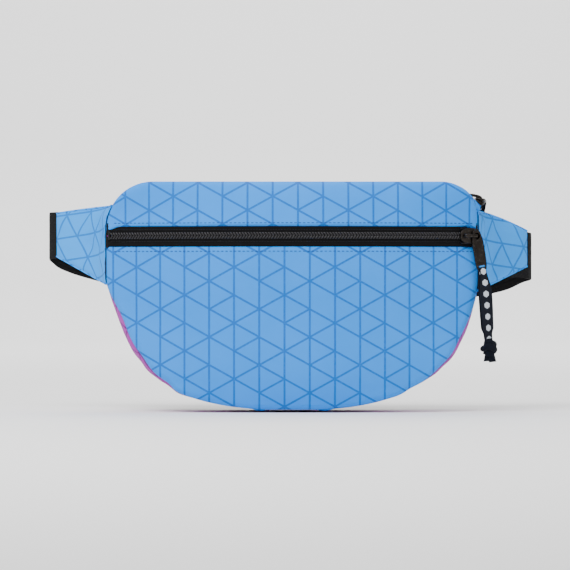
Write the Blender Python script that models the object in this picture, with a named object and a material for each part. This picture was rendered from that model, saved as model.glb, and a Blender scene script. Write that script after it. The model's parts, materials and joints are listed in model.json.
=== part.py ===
"""A zipped waist pack: curved front pocket, gusseted body, padded back, wings and a buckled belt.

Frame: metres, +Z up, -Y is the front, +Y is the wearer's side.  The origin is the middle of the flat
back face.  Heights named "height" are measured from the lowest point of the bag.
"""
import math

import bmesh
import bpy
from mathutils import Matrix, Vector

MM = 0.001
GAP = 0.3 * MM

# Driving dimensions of the bag
BASE_Z = -95.0 * MM           # lowest point of the bag
HALF_WIDTH = 148.0 * MM
TOP_HEIGHT = 181.0 * MM
CORNER_RADII = {-1: 38.0 * MM, 1: 30.0 * MM}
WIDEST_HEIGHT = 105.0 * MM    # below it the sides follow a superellipse
BOTTOM_POWER = 2.2
# how the lower sides differ from that curve, by height; the left side is drawn in more
SIDE_SHAPE = {
    -1: ((0.0, 1.18), (11 * MM, 1.12), (23 * MM, 1.005), (45 * MM, 0.954), (70 * MM, 0.942), (105 * MM, 1.0)),
    1: ((0.0, 1.2), (10 * MM, 1.12), (18 * MM, 1.05), (38 * MM, 1.01), (60 * MM, 0.983), (105 * MM, 1.0)),
}
SIDE_DEPTH = 41.0 * MM        # back face to front seam, at the sides
TOP_DEPTH = 52.0 * MM
BOTTOM_DEPTH = 58.0 * MM
FRONT_BULGE = 28.0 * MM
FABRIC = 1.2 * MM
BACK_THICK = 6.0 * MM

# Front zip: an arc about a vertical axis behind the bag
FRONT_ZIP_RADIUS = 389.0 * MM
FRONT_ZIP_CENTRE_Y = 319.0 * MM
FRONT_ZIP_HEIGHT = 138.0 * MM
FRONT_ZIP_HALF_ANGLE = math.radians(22.1)
FRONT_SLIDER_ANGLE = math.radians(21.1)
TAPE_HALF = 8.5 * MM
TAPE_THICK = 0.8 * MM
CHAIN_HALF = 3.0 * MM
CHAIN_PROUD = 1.2 * MM

# Main zip: an arc about an axis that runs front to back, far below the bag
MAIN_ZIP_RADIUS = 702.0 * MM
MAIN_ZIP_TOP = 178.0 * MM
MAIN_ZIP_Y = -26.0 * MM
MAIN_ZIP_HALF_ANGLE = math.radians(12.1)
MAIN_ZIP_MIDDLE = math.radians(0.4)   # the zip runs a little further on the slider's side
MAIN_SLIDER_ANGLE = math.radians(11.9)

# Pull tabs and their ribbons
TAB_LENGTH = 33.0 * MM
TAB_WIDTH = 10.0 * MM
TAB_THICK = 1.4 * MM
TAB_BASE = 4.7 * MM           # underside of the tab above the zip's surface
RIBBON_WIDTH = 10.0 * MM
RIBBON_THICK = 0.8 * MM
RIBBON_HALF_LOOP = 1.9 * MM
RIBBON_LENGTH = 55.0 * MM     # tab hole to knot

# Wings and belt
WEBBING = 38.0 * MM
WEBBING_THICK = 1.4 * MM
WING_ROOT = Vector((150.4, -3.0)) * MM
WING_TIP = Vector((191.5, 27.0)) * MM
WING_COVER = 0.8 * MM
WING_FOAM = 2.4 * MM
BELT_HEIGHT = 104.0 * MM      # middle of the buckle
BELT_Y = 32.0 * MM

# Buckle
BUCKLE_HALF_HEIGHT = 25.0 * MM
BUCKLE_THICK = 13.0 * MM
FEMALE_LENGTH = 46.0 * MM
WALL = 2.0 * MM


def material(name, colour, roughness, metallic=0.0):
    mat = bpy.data.materials.new(name)
    mat.use_nodes = True
    shader = mat.node_tree.nodes["Principled BSDF"]
    shader.inputs["Base Color"].default_value = (*colour, 1.0)
    shader.inputs["Roughness"].default_value = roughness
    shader.inputs["Metallic"].default_value = metallic
    return mat


def add_mesh(name, bm, mat, parent=None, recalculate=True):
    """Turn a bmesh in world coordinates into a named object, kept in place under its parent."""
    if recalculate:
        bmesh.ops.recalc_face_normals(bm, faces=bm.faces)
    mesh = bpy.data.meshes.new(name)
    bm.to_mesh(mesh)
    bm.free()
    mesh.shade_smooth()
    mesh.set_sharp_from_angle(angle=math.radians(35))
    mesh.materials.append(mat)
    thing = bpy.data.objects.new(name, mesh)
    bpy.context.collection.objects.link(thing)
    if parent:
        mesh.transform(parent.matrix_world.inverted())
        thing.parent = parent
    return thing


def add_axis(name, place, parent=None):
    """An empty on a joint's axis."""
    empty = bpy.data.objects.new(name, None)
    bpy.context.collection.objects.link(empty)
    empty.matrix_world = place
    if parent:
        empty.parent = parent
        empty.matrix_parent_inverse = parent.matrix_world.inverted()
    bpy.context.view_layer.update()
    return empty


def steps(start, end, count):
    return [start + (end - start) * i / count for i in range(count + 1)]


def smooth_step(low, high, value):
    t = min(1.0, max(0.0, (value - low) / (high - low)))
    return t * t * (3.0 - 2.0 * t)


def slab(name, outer, inner, mat, parent=None):
    """One closed solid between two grids of points of the same size."""
    bm = bmesh.new()
    layers = [[[bm.verts.new(p) for p in row] for row in grid] for grid in (outer, inner)]
    rows = len(outer)
    columns = len(outer[0])
    for layer in layers:
        for i in range(rows - 1):
            for j in range(columns - 1):
                bm.faces.new((layer[i][j], layer[i + 1][j], layer[i + 1][j + 1], layer[i][j + 1]))
    rim = [(0, j) for j in range(columns)] + [(i, columns - 1) for i in range(1, rows)]
    rim += [(rows - 1, j) for j in range(columns - 2, -1, -1)] + [(i, 0) for i in range(rows - 2, 0, -1)]
    for (i, j), (k, l) in zip(rim, rim[1:] + rim[:1]):
        bm.faces.new((layers[0][i][j], layers[0][k][l], layers[1][k][l], layers[1][i][j]))
    return add_mesh(name, bm, mat, parent)


def prism(name, outline, y_front, y_back, mat, parent=None):
    """A flat plate: an outline in X and Z, from y_front to y_back."""
    bm = bmesh.new()
    front = [bm.verts.new((x, y_front, z)) for x, z in outline]
    back = [bm.verts.new((x, y_back, z)) for x, z in outline]
    bm.faces.new(front)
    bm.faces.new(reversed(back))
    count = len(outline)
    for i in range(count):
        j = (i + 1) % count
        bm.faces.new((front[i], back[i], back[j], front[j]))
    return add_mesh(name, bm, mat, parent)


def block(bm, centre, size, place=Matrix.Identity(4)):
    """Add a box to a bmesh."""
    matrix = place @ Matrix.Translation(centre) @ Matrix.Diagonal((*size, 1.0))
    return bmesh.ops.create_cube(bm, size=1.0, matrix=matrix)["verts"]


def disc(bm, centre, radius, depth, place=Matrix.Identity(4), segments=20):
    """Add a cylinder along the place's own Z axis to a bmesh."""
    matrix = place @ Matrix.Translation(centre)
    return bmesh.ops.create_cone(bm, cap_ends=True, segments=segments, radius1=radius, radius2=radius,
                                 depth=depth, matrix=matrix)["verts"]


def helper_object(name, fill):
    """A hidden solid used only to join or cut; fill(bm) adds its shape."""
    bm = bmesh.new()
    fill(bm)
    mesh = bpy.data.meshes.new(name)
    bm.to_mesh(mesh)
    bm.free()
    thing = bpy.data.objects.new(name, mesh)
    bpy.context.collection.objects.link(thing)
    thing.hide_render = True
    thing.display_type = "WIRE"
    return thing


def combine(target, operation, fill, label):
    """Join or cut a target with a helper solid, at the target's own place."""
    helper = helper_object(target.name + "_" + label, fill)
    helper.parent = target.parent
    if target.parent:
        helper.matrix_parent_inverse = target.parent.matrix_world.inverted()
    modifier = target.modifiers.new(label, "BOOLEAN")
    modifier.operation = operation
    modifier.object = helper


def bevel(target, width, segments=2):
    modifier = target.modifiers.new("edges", "BEVEL")
    modifier.width = width
    modifier.segments = segments
    modifier.limit_method = "ANGLE"
    modifier.angle_limit = math.radians(50)


# ---- the shape of the bag ----

def blended(table, value):
    """A smooth value between the (place, value) pairs of a short table."""
    for (low, start), (high, end) in zip(table, table[1:]):
        if value <= high:
            return start + (end - start) * smooth_step(low, high, value)
    return table[-1][1]


def half_width(height, side=1):
    """Width of the front panel to one side of its middle; side is -1 for left and 1 for right."""
    if height < WIDEST_HEIGHT:
        drop = (WIDEST_HEIGHT - height) / WIDEST_HEIGHT
        plain = HALF_WIDTH * (1.0 - drop ** BOTTOM_POWER) ** (1.0 / BOTTOM_POWER)
        return plain * blended(SIDE_SHAPE[side], height)
    radius = CORNER_RADII[side]
    corner = TOP_HEIGHT - radius
    if height < corner:
        return HALF_WIDTH
    rise = min(radius, height - corner)
    return HALF_WIDTH - radius + math.sqrt(radius ** 2 - rise ** 2)


def seam_depth(height):
    """Distance from the back face to the front seam."""
    top = (TOP_DEPTH - SIDE_DEPTH) * smooth_step(150 * MM, TOP_HEIGHT, height)
    bottom = (BOTTOM_DEPTH - SIDE_DEPTH) * (1.0 - smooth_step(0.0, 90 * MM, height))
    return SIDE_DEPTH + top + bottom


def bulge_share(height):
    """How much of the full front bulge is reached at a height, 0 to 1."""
    upper_edge = FRONT_ZIP_HEIGHT + TAPE_HALF
    if height > upper_edge:
        return 1.0 - ((height - upper_edge) / (TOP_HEIGHT - upper_edge)) ** 1.6
    lower_edge = 120.0 * MM
    if height < lower_edge:
        return 1.0 - ((lower_edge - height) / lower_edge) ** BOTTOM_POWER
    return 1.0


def front_point(x, height, inset=0.0):
    """A point of the front face; inset moves it inwards, towards the wearer."""
    share = x / half_width(height, 1 if x > 0 else -1)
    arc = FRONT_ZIP_CENTRE_Y - math.sqrt(FRONT_ZIP_RADIUS ** 2 - (share * HALF_WIDTH) ** 2)
    bulge = (-SIDE_DEPTH - arc) * bulge_share(height)
    return Vector((x, -seam_depth(height) - max(0.0, bulge) + inset, BASE_Z + height))


def front_patch(low, high, rows, columns, inset):
    grid = []
    for i in range(rows + 1):
        # rows crowd together towards the rounded edges
        t = math.sin(0.5 * math.pi * i / rows) if low > FRONT_ZIP_HEIGHT else 1.0 - math.cos(0.5 * math.pi * i / rows)
        height = low + (high - low) * t
        shares = steps(-1.0, 1.0, columns)
        grid.append([front_point(u * half_width(height, 1 if u > 0 else -1), height, inset) for u in shares])
    return grid


def build_front_panels(cloth):
    for name, low, high, rows in (
        ("front_lower_panel", 0.3 * MM, FRONT_ZIP_HEIGHT - TAPE_HALF - GAP, 14),
        ("front_upper_panel", FRONT_ZIP_HEIGHT + TAPE_HALF + GAP, TOP_HEIGHT, 7),
    ):
        slab(name, front_patch(low, high, rows, 16, 0.0), front_patch(low, high, rows, 16, FABRIC), cloth)


# ---- outlines that the gussets and flat panels follow ----

def side_outline(side, top_height, inset, count):
    """Points (x, height) of one side, from the bottom up."""
    points = []
    for i in range(count + 1):
        height = max(0.3 * MM, top_height * (1.0 - math.cos(0.5 * math.pi * i / count)))
        near = max(0.2 * MM, height - 0.3 * MM)
        far = height + 0.3 * MM
        slope = Vector((half_width(far, side) - half_width(near, side), far - near)).normalized()
        points.append((side * (half_width(height, side) - inset * slope.y), height + inset * slope.x))
    return points


def lower_outline(top_height, inset, count):
    """Points (x, height) from the left side down round the bottom and up to the right side."""
    left = side_outline(-1, top_height, inset, count)
    return left[::-1] + side_outline(1, top_height, inset, count)


def main_arc(angle, lift=0.0):
    """A point (x, height) on the main zip's arc; lift is measured outwards."""
    radius = MAIN_ZIP_RADIUS + lift
    return radius * math.sin(angle), MAIN_ZIP_TOP - MAIN_ZIP_RADIUS + radius * math.cos(angle)


def panel_outline(inset):
    """The closed outline of the flat inner and back panels, in X and Z."""
    side_top = main_arc(MAIN_ZIP_HALF_ANGLE)[1] - 8 * MM
    points = lower_outline(side_top, inset, 16)
    limit = math.asin((HALF_WIDTH - inset - 2 * MM) / MAIN_ZIP_RADIUS)
    points += [main_arc(angle, -2 * MM - inset) for angle in steps(limit, -limit, 14)]
    return [(x, BASE_Z + height) for x, height in points]


def build_flat_panels(mesh_cloth, lining):
    prism("back_panel", panel_outline(0.0), -BACK_THICK, 0.0, mesh_cloth)
    prism("back_lining", panel_outline(4 * MM), -BACK_THICK - 1.1 * MM, -BACK_THICK - GAP, lining)
    pocket_y = -36 * MM
    prism("front_pocket_lining", panel_outline(5 * MM), pocket_y - 0.8 * MM, pocket_y, lining)


def build_bottom_gusset(pink):
    """The band from one side, round the bottom, to the other side."""
    top = 141 * MM
    grids = []
    for inset in (0.0, FABRIC):
        grid = []
        for x, height in lower_outline(top, inset, 16):
            front = -seam_depth(height) + FABRIC + 3 * GAP
            back = -BACK_THICK - GAP
            grid.append([Vector((x, y, BASE_Z + height)) for y in steps(front, back, 3)])
        grids.append(grid)
    slab("bottom_gusset", grids[0], grids[1], pink)


def build_seam_bindings(binding):
    """Tapes that bind the raw seam edges inside the bag."""
    for name, offset, depth in (("front_seam_binding", 2.0 * MM, None), ("rear_seam_binding", 2.0 * MM, 9 * MM)):
        grids = []
        for inset in (offset, offset + 1.0 * MM):
            grid = []
            for x, height in lower_outline(139 * MM, inset, 12):
                middle = -depth - 3 * MM if depth else -seam_depth(height) + 6 * MM
                grid.append([Vector((x, middle + side, BASE_Z + height)) for side in (-3 * MM, 3 * MM)])
            grids.append(grid)
        slab(name, grids[0], grids[1], binding)


def corner_path(share):
    """The front panel's top edge by its share of length, -1 at the left side to 1 at the right."""
    radius = CORNER_RADII[1 if share > 0 else -1]
    flat = HALF_WIDTH - radius
    turn = 0.5 * math.pi * radius
    along = abs(share) * (flat + turn)
    if along <= flat:
        return math.copysign(along, share), TOP_HEIGHT
    angle = (along - flat) / radius
    x = flat + radius * math.sin(angle)
    return math.copysign(x, share), TOP_HEIGHT - radius + radius * math.cos(angle)


def build_top_gusset(cloth):
    """Front and rear strips on each side of the main zip."""
    front_grids, rear_grids = [], []
    for drop in (0.0, FABRIC):
        front, rear = [], []
        for share in steps(-0.985, 0.985, 32):
            angle = MAIN_ZIP_MIDDLE + share * MAIN_ZIP_HALF_ANGLE
            x, height = corner_path(share)
            edge = Vector((x * (1 - drop / HALF_WIDTH), -seam_depth(height) + FABRIC + 3 * GAP, BASE_Z + height - drop))
            arc_x, arc_height = main_arc(angle, -drop)
            tape = Vector((arc_x, MAIN_ZIP_Y - TAPE_HALF - GAP, BASE_Z + arc_height))
            front.append([edge, edge.lerp(tape, 0.5), tape])
            rear.append([Vector((arc_x, y, BASE_Z + arc_height))
                         for y in (MAIN_ZIP_Y + TAPE_HALF + GAP, -BACK_THICK - GAP)])
        front_grids.append(front)
        rear_grids.append(rear)
    slab("top_gusset_front", front_grids[0], front_grids[1], cloth)
    slab("top_gusset_rear", rear_grids[0], rear_grids[1], cloth)


# ---- zips ----

def front_arc(angle, lift, height):
    radius = FRONT_ZIP_RADIUS + lift
    return Vector((radius * math.sin(angle), FRONT_ZIP_CENTRE_Y - radius * math.cos(angle), BASE_Z + height))


def main_arc_point(angle, lift, y):
    x, height = main_arc(angle, lift)
    return Vector((x, y, BASE_Z + height))


def main_zip_point(angle, lift, y):
    """The same, with the angle measured from the middle of the zip."""
    return main_arc_point(MAIN_ZIP_MIDDLE + angle, lift, y)


def zip_strip(name, point, limits, across, lifts, mat, count=24):
    """A strip along a zip: point(angle, lift, across) gives its places."""
    grids = [[[point(angle, lift, side) for side in across] for angle in steps(*limits, count)] for lift in lifts]
    slab(name, grids[0], grids[1], mat)


def build_zip(prefix, point, middle, half_angle, side_names, tape, coil):
    chain_edge = CHAIN_HALF + GAP
    for side, sign in zip(side_names, (1, -1)):
        across = (middle + sign * chain_edge, middle + sign * TAPE_HALF)
        zip_strip(f"{prefix}_zip_tape_{side}", point, (-half_angle, half_angle), across, (0.0, -TAPE_THICK), tape)
    stop = math.radians(0.45)
    across = (middle - CHAIN_HALF, middle + CHAIN_HALF)
    inner = half_angle - stop
    zip_strip(f"{prefix}_zip_chain", point, (-inner, inner), across, (CHAIN_PROUD, -CHAIN_PROUD), coil, 40)
    clear = GAP / FRONT_ZIP_RADIUS
    for side, low, high in (("left", -half_angle, -inner - clear), ("right", inner + clear, half_angle)):
        name = f"{prefix}_zip_stop_{side}"
        zip_strip(name, point, (low, high), across, (CHAIN_PROUD, -CHAIN_PROUD), tape, 1)


def slider(name, place, mat, parent):
    """Slider body over the chain; local X runs along the zip, local Z points out of the bag."""
    bm = bmesh.new()
    block(bm, (0, 0, 2.9 * MM), (17 * MM, 12.5 * MM, 2.2 * MM), place)
    body = add_mesh(name, bm, mat, parent)

    def skirts(mesh):
        for sign in (-1, 1):
            block(mesh, (0, sign * 5.4 * MM, 1.4 * MM), (14 * MM, 1.6 * MM, 1.9 * MM), place)

    def crown_posts(mesh):
        for sign in (-1, 1):
            block(mesh, (sign * 4.5 * MM, 0, 5.6 * MM), (1.8 * MM, 2.6 * MM, 4.2 * MM), place)

    def crown_bar(mesh):
        block(mesh, (0, 0, 7.3 * MM), (10.8 * MM, 3.0 * MM, 1.2 * MM), place)

    combine(body, "UNION", skirts, "skirts")
    combine(body, "UNION", crown_posts, "posts")
    combine(body, "UNION", crown_bar, "crown")
    bevel(body, 0.4 * MM, 1)


def pull_tab(name, place, mat, parent):
    """Pull tab; its local origin is the crown's post, local X points along the tab."""
    middle = TAB_BASE + 0.5 * TAB_THICK
    half = 0.5 * TAB_WIDTH
    outline = [(half * math.cos(angle), half * math.sin(angle)) for angle in steps(0.5 * math.pi, 1.5 * math.pi, 12)]
    end = TAB_LENGTH - 4 * MM
    outline += [(end - MM, -half), (end, -half + MM), (end, half - MM), (end - MM, half)]
    bm = bmesh.new()
    low = [bm.verts.new(place @ Vector((x, y, TAB_BASE))) for x, y in outline]
    high = [bm.verts.new(place @ Vector((x, y, TAB_BASE + TAB_THICK))) for x, y in outline]
    bm.faces.new(low)
    bm.faces.new(reversed(high))
    for i in range(len(outline)):
        j = (i + 1) % len(outline)
        bm.faces.new((low[i], high[i], high[j], low[j]))
    body = add_mesh(name, bm, mat, parent)

    def eye(mesh):
        disc(mesh, (0, 0, middle), 2.9 * MM, 3 * TAB_THICK, place)

    def slot(mesh):
        block(mesh, (TAB_LENGTH - 8.5 * MM, 0, middle), (3.6 * MM, 6.4 * MM, 3 * TAB_THICK), place)

    combine(body, "DIFFERENCE", eye, "eye")
    combine(body, "DIFFERENCE", slot, "slot")


def strap(name, points, widths, thickness, mat, parent=None):
    """A flat strip: a row of middle points and, for each, its half-width vector."""
    grids = []
    for side in (0.5, -0.5):
        grid = []
        for i, point in enumerate(points):
            ahead = points[min(i + 1, len(points) - 1)] - points[max(i - 1, 0)]
            normal = ahead.cross(widths[i]).normalized() * thickness * side
            grid.append([point - widths[i] + normal, point + normal, point + widths[i] + normal])
        grids.append(grid)
    slab(name, grids[0], grids[1], mat, parent)


# ---- sliders, pull tabs and ribbons ----

def frame_matrix(origin, x_axis, y_axis, z_axis):
    matrix = Matrix((x_axis, y_axis, z_axis)).transposed().to_4x4()
    matrix.translation = origin
    return matrix


def front_slider_place():
    angle = FRONT_SLIDER_ANGLE
    outwards = Vector((math.sin(angle), -math.cos(angle), 0.0))
    along = Vector((math.cos(angle), math.sin(angle), 0.0))
    return frame_matrix(front_arc(angle, 0.0, FRONT_ZIP_HEIGHT), along, Vector((0, 0, 1)), outwards)


def main_slider_place():
    angle = MAIN_SLIDER_ANGLE
    outwards = Vector((math.sin(angle), 0.0, math.cos(angle)))
    along = Vector((math.cos(angle), 0.0, -math.sin(angle)))
    return frame_matrix(main_arc_point(angle, 0.0, MAIN_ZIP_Y), along, Vector((0, 1, 0)), outwards)


def ribbon_side(centre_line, offset):
    """One layer of a doubled ribbon: the centre line moved sideways, in (along, lift) pairs."""
    side = []
    for i, (along, lift) in enumerate(centre_line):
        ahead = Vector(centre_line[min(i + 1, len(centre_line) - 1)])
        back = Vector(centre_line[max(i - 1, 0)])
        direction = (ahead - back).normalized()
        ease = 1.0 - 0.55 * i / (len(centre_line) - 1)
        side.append((along - direction.y * offset * ease, lift + direction.x * offset * ease))
    return side


def bent_place(place, along, droop):
    """The ribbon's own frame at a distance from the bar; it turns sideways by droop as it leaves the tab."""
    here = place.copy()
    travelled = 0.0
    while travelled + MM <= along:
        turn = droop * (smooth_step(2 * MM, 16 * MM, travelled + MM) - smooth_step(2 * MM, 16 * MM, travelled))
        here = here @ Matrix.Rotation(turn, 4, "Z") @ Matrix.Translation((MM, 0, 0))
        travelled += MM
    return here @ Matrix.Translation((along - travelled, 0, 0))


def ribbon(name, place, centre_line, droop, mat, parent):
    """A ribbon doubled round the tab's end bar; place has X along the tab and Z away from the bag."""
    front = ribbon_side(centre_line, RIBBON_HALF_LOOP)
    rear = ribbon_side(centre_line, -RIBBON_HALF_LOOP)
    turn = [(-1.2 * MM, 1.6 * MM), (-2.1 * MM, 0.0), (-1.2 * MM, -1.6 * MM)]
    path = list(reversed(front)) + turn + rear
    points, widths = [], []
    for i, (along, lift) in enumerate(path):
        here = bent_place(place, along, droop)
        points.append(here @ Vector((0.0, 0.0, lift)))
        reach = min(abs(i - len(front) - 1), len(front))
        half = min(2.6 * MM + 0.7 * MM * max(0, reach - 2), 0.5 * RIBBON_WIDTH)
        widths.append(here.to_3x3() @ Vector((0.0, half, 0.0)))
    strap(name, points, widths, RIBBON_THICK, mat, parent)


def knot(name, place, end, direction, mat, parent):
    """The knot below a ribbon and its short tail; end and direction are (along, lift) pairs."""
    down = Vector((direction[0], 0.0, direction[1])).normalized()
    side = Vector((0.0, 1.0, 0.0))
    start = Vector((end[0], 0.0, end[1]))
    turned = place @ frame_matrix(start, side.cross(down), side, down)
    bm = bmesh.new()
    matrix = turned @ Matrix.Translation((0, 0, 7 * MM)) @ Matrix.Diagonal((4 * MM, 6.5 * MM, 6.4 * MM, 1))
    bmesh.ops.create_uvsphere(bm, u_segments=14, v_segments=8, radius=1.0, matrix=matrix)
    body = add_mesh(name, bm, mat, parent)

    def tail(mesh):
        block(mesh, (0, 0, 14 * MM), (2.0 * MM, 7 * MM, 9 * MM), turned)

    combine(body, "UNION", tail, "tail")


def smooth_route(points, per_step=3):
    """A smooth curve through a few (along, lift) pairs."""
    route = []
    padded = [points[0]] + points + [points[-1]]
    for a, b, c, d in zip(padded, padded[1:], padded[2:], padded[3:]):
        for i in range(per_step):
            t = i / per_step
            route.append(tuple(0.5 * ((2 * q) + (r - p) * t + (2 * p - 5 * q + 4 * r - s) * t * t
                                      + (3 * q - p - 3 * r + s) * t ** 3) for p, q, r, s in zip(a, b, c, d)))
    return route + [points[-1]]


FRONT_TAB_ANGLE = math.radians(-80)
MAIN_TAB_ANGLE = math.radians(86)
END_BAR = Vector((TAB_LENGTH - 5.35 * MM, 0.0, TAB_BASE + 0.5 * TAB_THICK))
# Ribbon routes from the end bar: distance along the tab, and away from the bag
FRONT_RIBBON_ROUTE = [(2 * MM, 0.0), (RIBBON_LENGTH, 0.0)]
MAIN_RIBBON_ROUTE = [(2 * MM, 0.3 * MM), (8 * MM, 0.6 * MM), (13.5 * MM, -1.8 * MM), (17.7 * MM, -9 * MM),
                     (19 * MM, -22 * MM), (19.3 * MM, -46 * MM), (19.3 * MM, -70 * MM)]


def build_pull(prefix, slider_place, tab_angle, route, droop, metal, navy, parent):
    """Slider, tab, ribbon and knot of one zip, each under an empty on its own axis."""
    travel = add_axis(prefix + "_slider_axis", slider_place, parent)
    slider(prefix + "_slider", slider_place, metal, travel)
    post = slider_place @ Matrix.Translation((4.5 * MM, 0, 0)) @ Matrix.Rotation(tab_angle, 4, "Z")
    swing = add_axis(prefix + "_tab_axis", post, travel)
    pull_tab(prefix + "_pull_tab", post, metal, swing)
    bar = post @ Matrix.Translation(END_BAR)
    lift = add_axis(prefix + "_ribbon_axis", bar, swing)
    line = smooth_route(route, 8 if len(route) == 2 else 3)
    ribbon(prefix + "_ribbon", bar, line, droop, navy, lift)
    last, before = line[-1], line[-2]
    end = bent_place(bar, last[0], droop) @ Matrix.Translation((-last[0], 0, 0))
    knot(prefix + "_knot", end, last, (last[0] - before[0], last[1] - before[1]), navy, lift)


# ---- wings and belt ----

# Heights of each wing: root top, root bottom, tip top, tip bottom; then the belt's height at its fold
WINGS = {
    "left": (-1, 162 * MM, 100 * MM, 157.3 * MM, 122.5 * MM, 139.5 * MM),
    "right": (1, 158 * MM, 94.5 * MM, 143 * MM, 114.5 * MM, 124 * MM),
}
# The belt's fold and its run in behind the bag: places in plan, and the height of its middle at each, in mm
BELT_FOLD = {
    "left": ((193.4, 32.0), (197.8, 36.0), (195.6, 39.8)),
    "right": ((193.0, 32.0), (195.3, 36.0), (193.6, 39.8)),
}
BELT_BEHIND = ((189, 41.4), (170, 40.5), (144, 39), (122, 36.8), (104, 35.4))
BELT_HEIGHTS = {
    "left": (139.5, 139, 136, 131, 125, 118, 113, 109),
    "right": (123, 122.5, 121.5, 120, 113, 107.5, 105, 104),
}
TAIL_TIPS = {"left": Vector((-126, 43.0, 51)) * MM, "right": Vector((139, 43.0, 71)) * MM}


def wing_point(side, share, rise, offset):
    """share runs root to tip, rise bottom to top, offset towards the wearer."""
    sign, root_top, root_low, tip_top, tip_low, _ = WINGS[side]
    plan = WING_ROOT.lerp(WING_TIP, share)
    direction = (WING_TIP - WING_ROOT).normalized()
    x = plan.x - direction.y * offset
    y = plan.y + direction.x * offset
    low = root_low + (tip_low - root_low) * share
    top = root_top + (tip_top - root_top) * share ** 1.3
    return Vector((sign * x, y, BASE_Z + low + (top - low) * rise))


def build_wing(side, cloth, foam, mesh_cloth):
    half_foam = 0.5 * WING_FOAM
    outer = half_foam + GAP + WING_COVER
    layers = (
        ("wing_front", -outer, -half_foam - GAP, cloth, 1.0),
        ("wing_foam", -half_foam, half_foam, foam, 0.93),
        ("wing_back", half_foam + GAP, outer, mesh_cloth, 1.0),
    )
    for name, front, back, mat, reach in layers:
        grids = [[[wing_point(side, share, rise, offset) for rise in steps(0.0, 1.0, 4)]
                  for share in steps(0.0, reach, 6)] for offset in (front, back)]
        slab(f"{side}_{name}", grids[0], grids[1], mat)


def belt_path(side):
    """Middle points of the belt, wing to buckle: the sewn end, the fold and the run behind the bag."""
    sign, fold = WINGS[side][0], WINGS[side][5]
    offset = 0.5 * WING_FOAM + 2 * GAP + WING_COVER + 0.5 * WEBBING_THICK + 0.2 * MM
    points = []
    for share in (0.5, 0.75, 0.97):
        place = wing_point(side, share, 0.5, offset)
        place.z = BASE_Z + fold
        points.append(place)
    for (x, y), height in zip(BELT_FOLD[side] + BELT_BEHIND, BELT_HEIGHTS[side]):
        points.append(Vector((sign * x * MM, y * MM, BASE_Z + height * MM)))
    return points


def buckle_turn(side):
    """The belt's last stretch: into the buckle, round its bar and out again as the tail."""
    sign = WINGS[side][0]
    plan = [(88, 30.6), (70, 30.2), (50, 29.4), (42, 29.2), (39.6, 30.2), (39.0, 32.0), (39.6, 33.8), (42, 34.8), (50, 35.4)]
    points = [Vector((sign * x * MM, y * MM, BASE_Z + BELT_HEIGHT)) for x, y in plan]
    tip = TAIL_TIPS[side] + Vector((0, 0, BASE_Z))
    start = points[-1]
    for share in steps(0.0, 1.0, 5)[1:]:
        place = start.lerp(tip, share)
        place.z += 6 * MM * math.sin(math.pi * share)
        place.y += 3 * MM * math.sin(math.pi * share)
        points.append(place)
    return points


def belt_widths(points):
    """Half-width vectors: upright, and square to the belt's own direction."""
    widths = []
    for i in range(len(points)):
        ahead = points[min(i + 1, len(points) - 1)] - points[max(i - 1, 0)]
        if math.hypot(ahead.x, ahead.z) < 6 * MM or abs(ahead.y) > 0.4 * abs(ahead.x):
            widths.append(Vector((0, 0, 0.5 * WEBBING)))
            continue
        slope = Vector((-ahead.z, 0, ahead.x)) if ahead.x > 0 else Vector((ahead.z, 0, -ahead.x))
        widths.append(slope.normalized() * 0.5 * WEBBING)
    return widths


def build_belt(webbing, male_axis):
    left = belt_path("left") + buckle_turn("left")
    strap("left_belt", left, belt_widths(left), WEBBING_THICK, webbing)
    right = belt_path("right")
    strap("right_belt", right, belt_widths(right), WEBBING_THICK, webbing)
    end = buckle_turn("right")
    strap("right_belt_end", end, belt_widths(end), WEBBING_THICK, webbing, male_axis)


# ---- buckle: everything is placed from its middle ----

FEMALE_FROM, FEMALE_TO = -36 * MM, 12 * MM
MALE_FROM, MALE_TO = 12.5 * MM, 34 * MM
PRONG_PIVOT = Vector((10.0, 0.0, 14.0)) * MM


def centred_block(bm, low, high):
    middle = [(a + b) / 2 for a, b in zip(low, high)]
    block(bm, middle, [b - a for a, b in zip(low, high)], BUCKLE_PLACE)


BUCKLE_PLACE = Matrix.Translation((0.0, BELT_Y, BASE_Z + BELT_HEIGHT))


def strap_frame(bm, sign, start):
    """The bar and arms that the belt loops round, from start outwards."""
    low, high = sorted((sign * (start - 1 * MM), sign * 44.5 * MM))
    centred_block(bm, (low, -1.5 * MM, -BUCKLE_HALF_HEIGHT), (high, 1.5 * MM, BUCKLE_HALF_HEIGHT))


def strap_slot(bm, sign):
    low, high = sorted((sign * 36.3 * MM, sign * 40.7 * MM))
    centred_block(bm, (low, -5 * MM, -20.5 * MM), (high, 5 * MM, 20.5 * MM))


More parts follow.
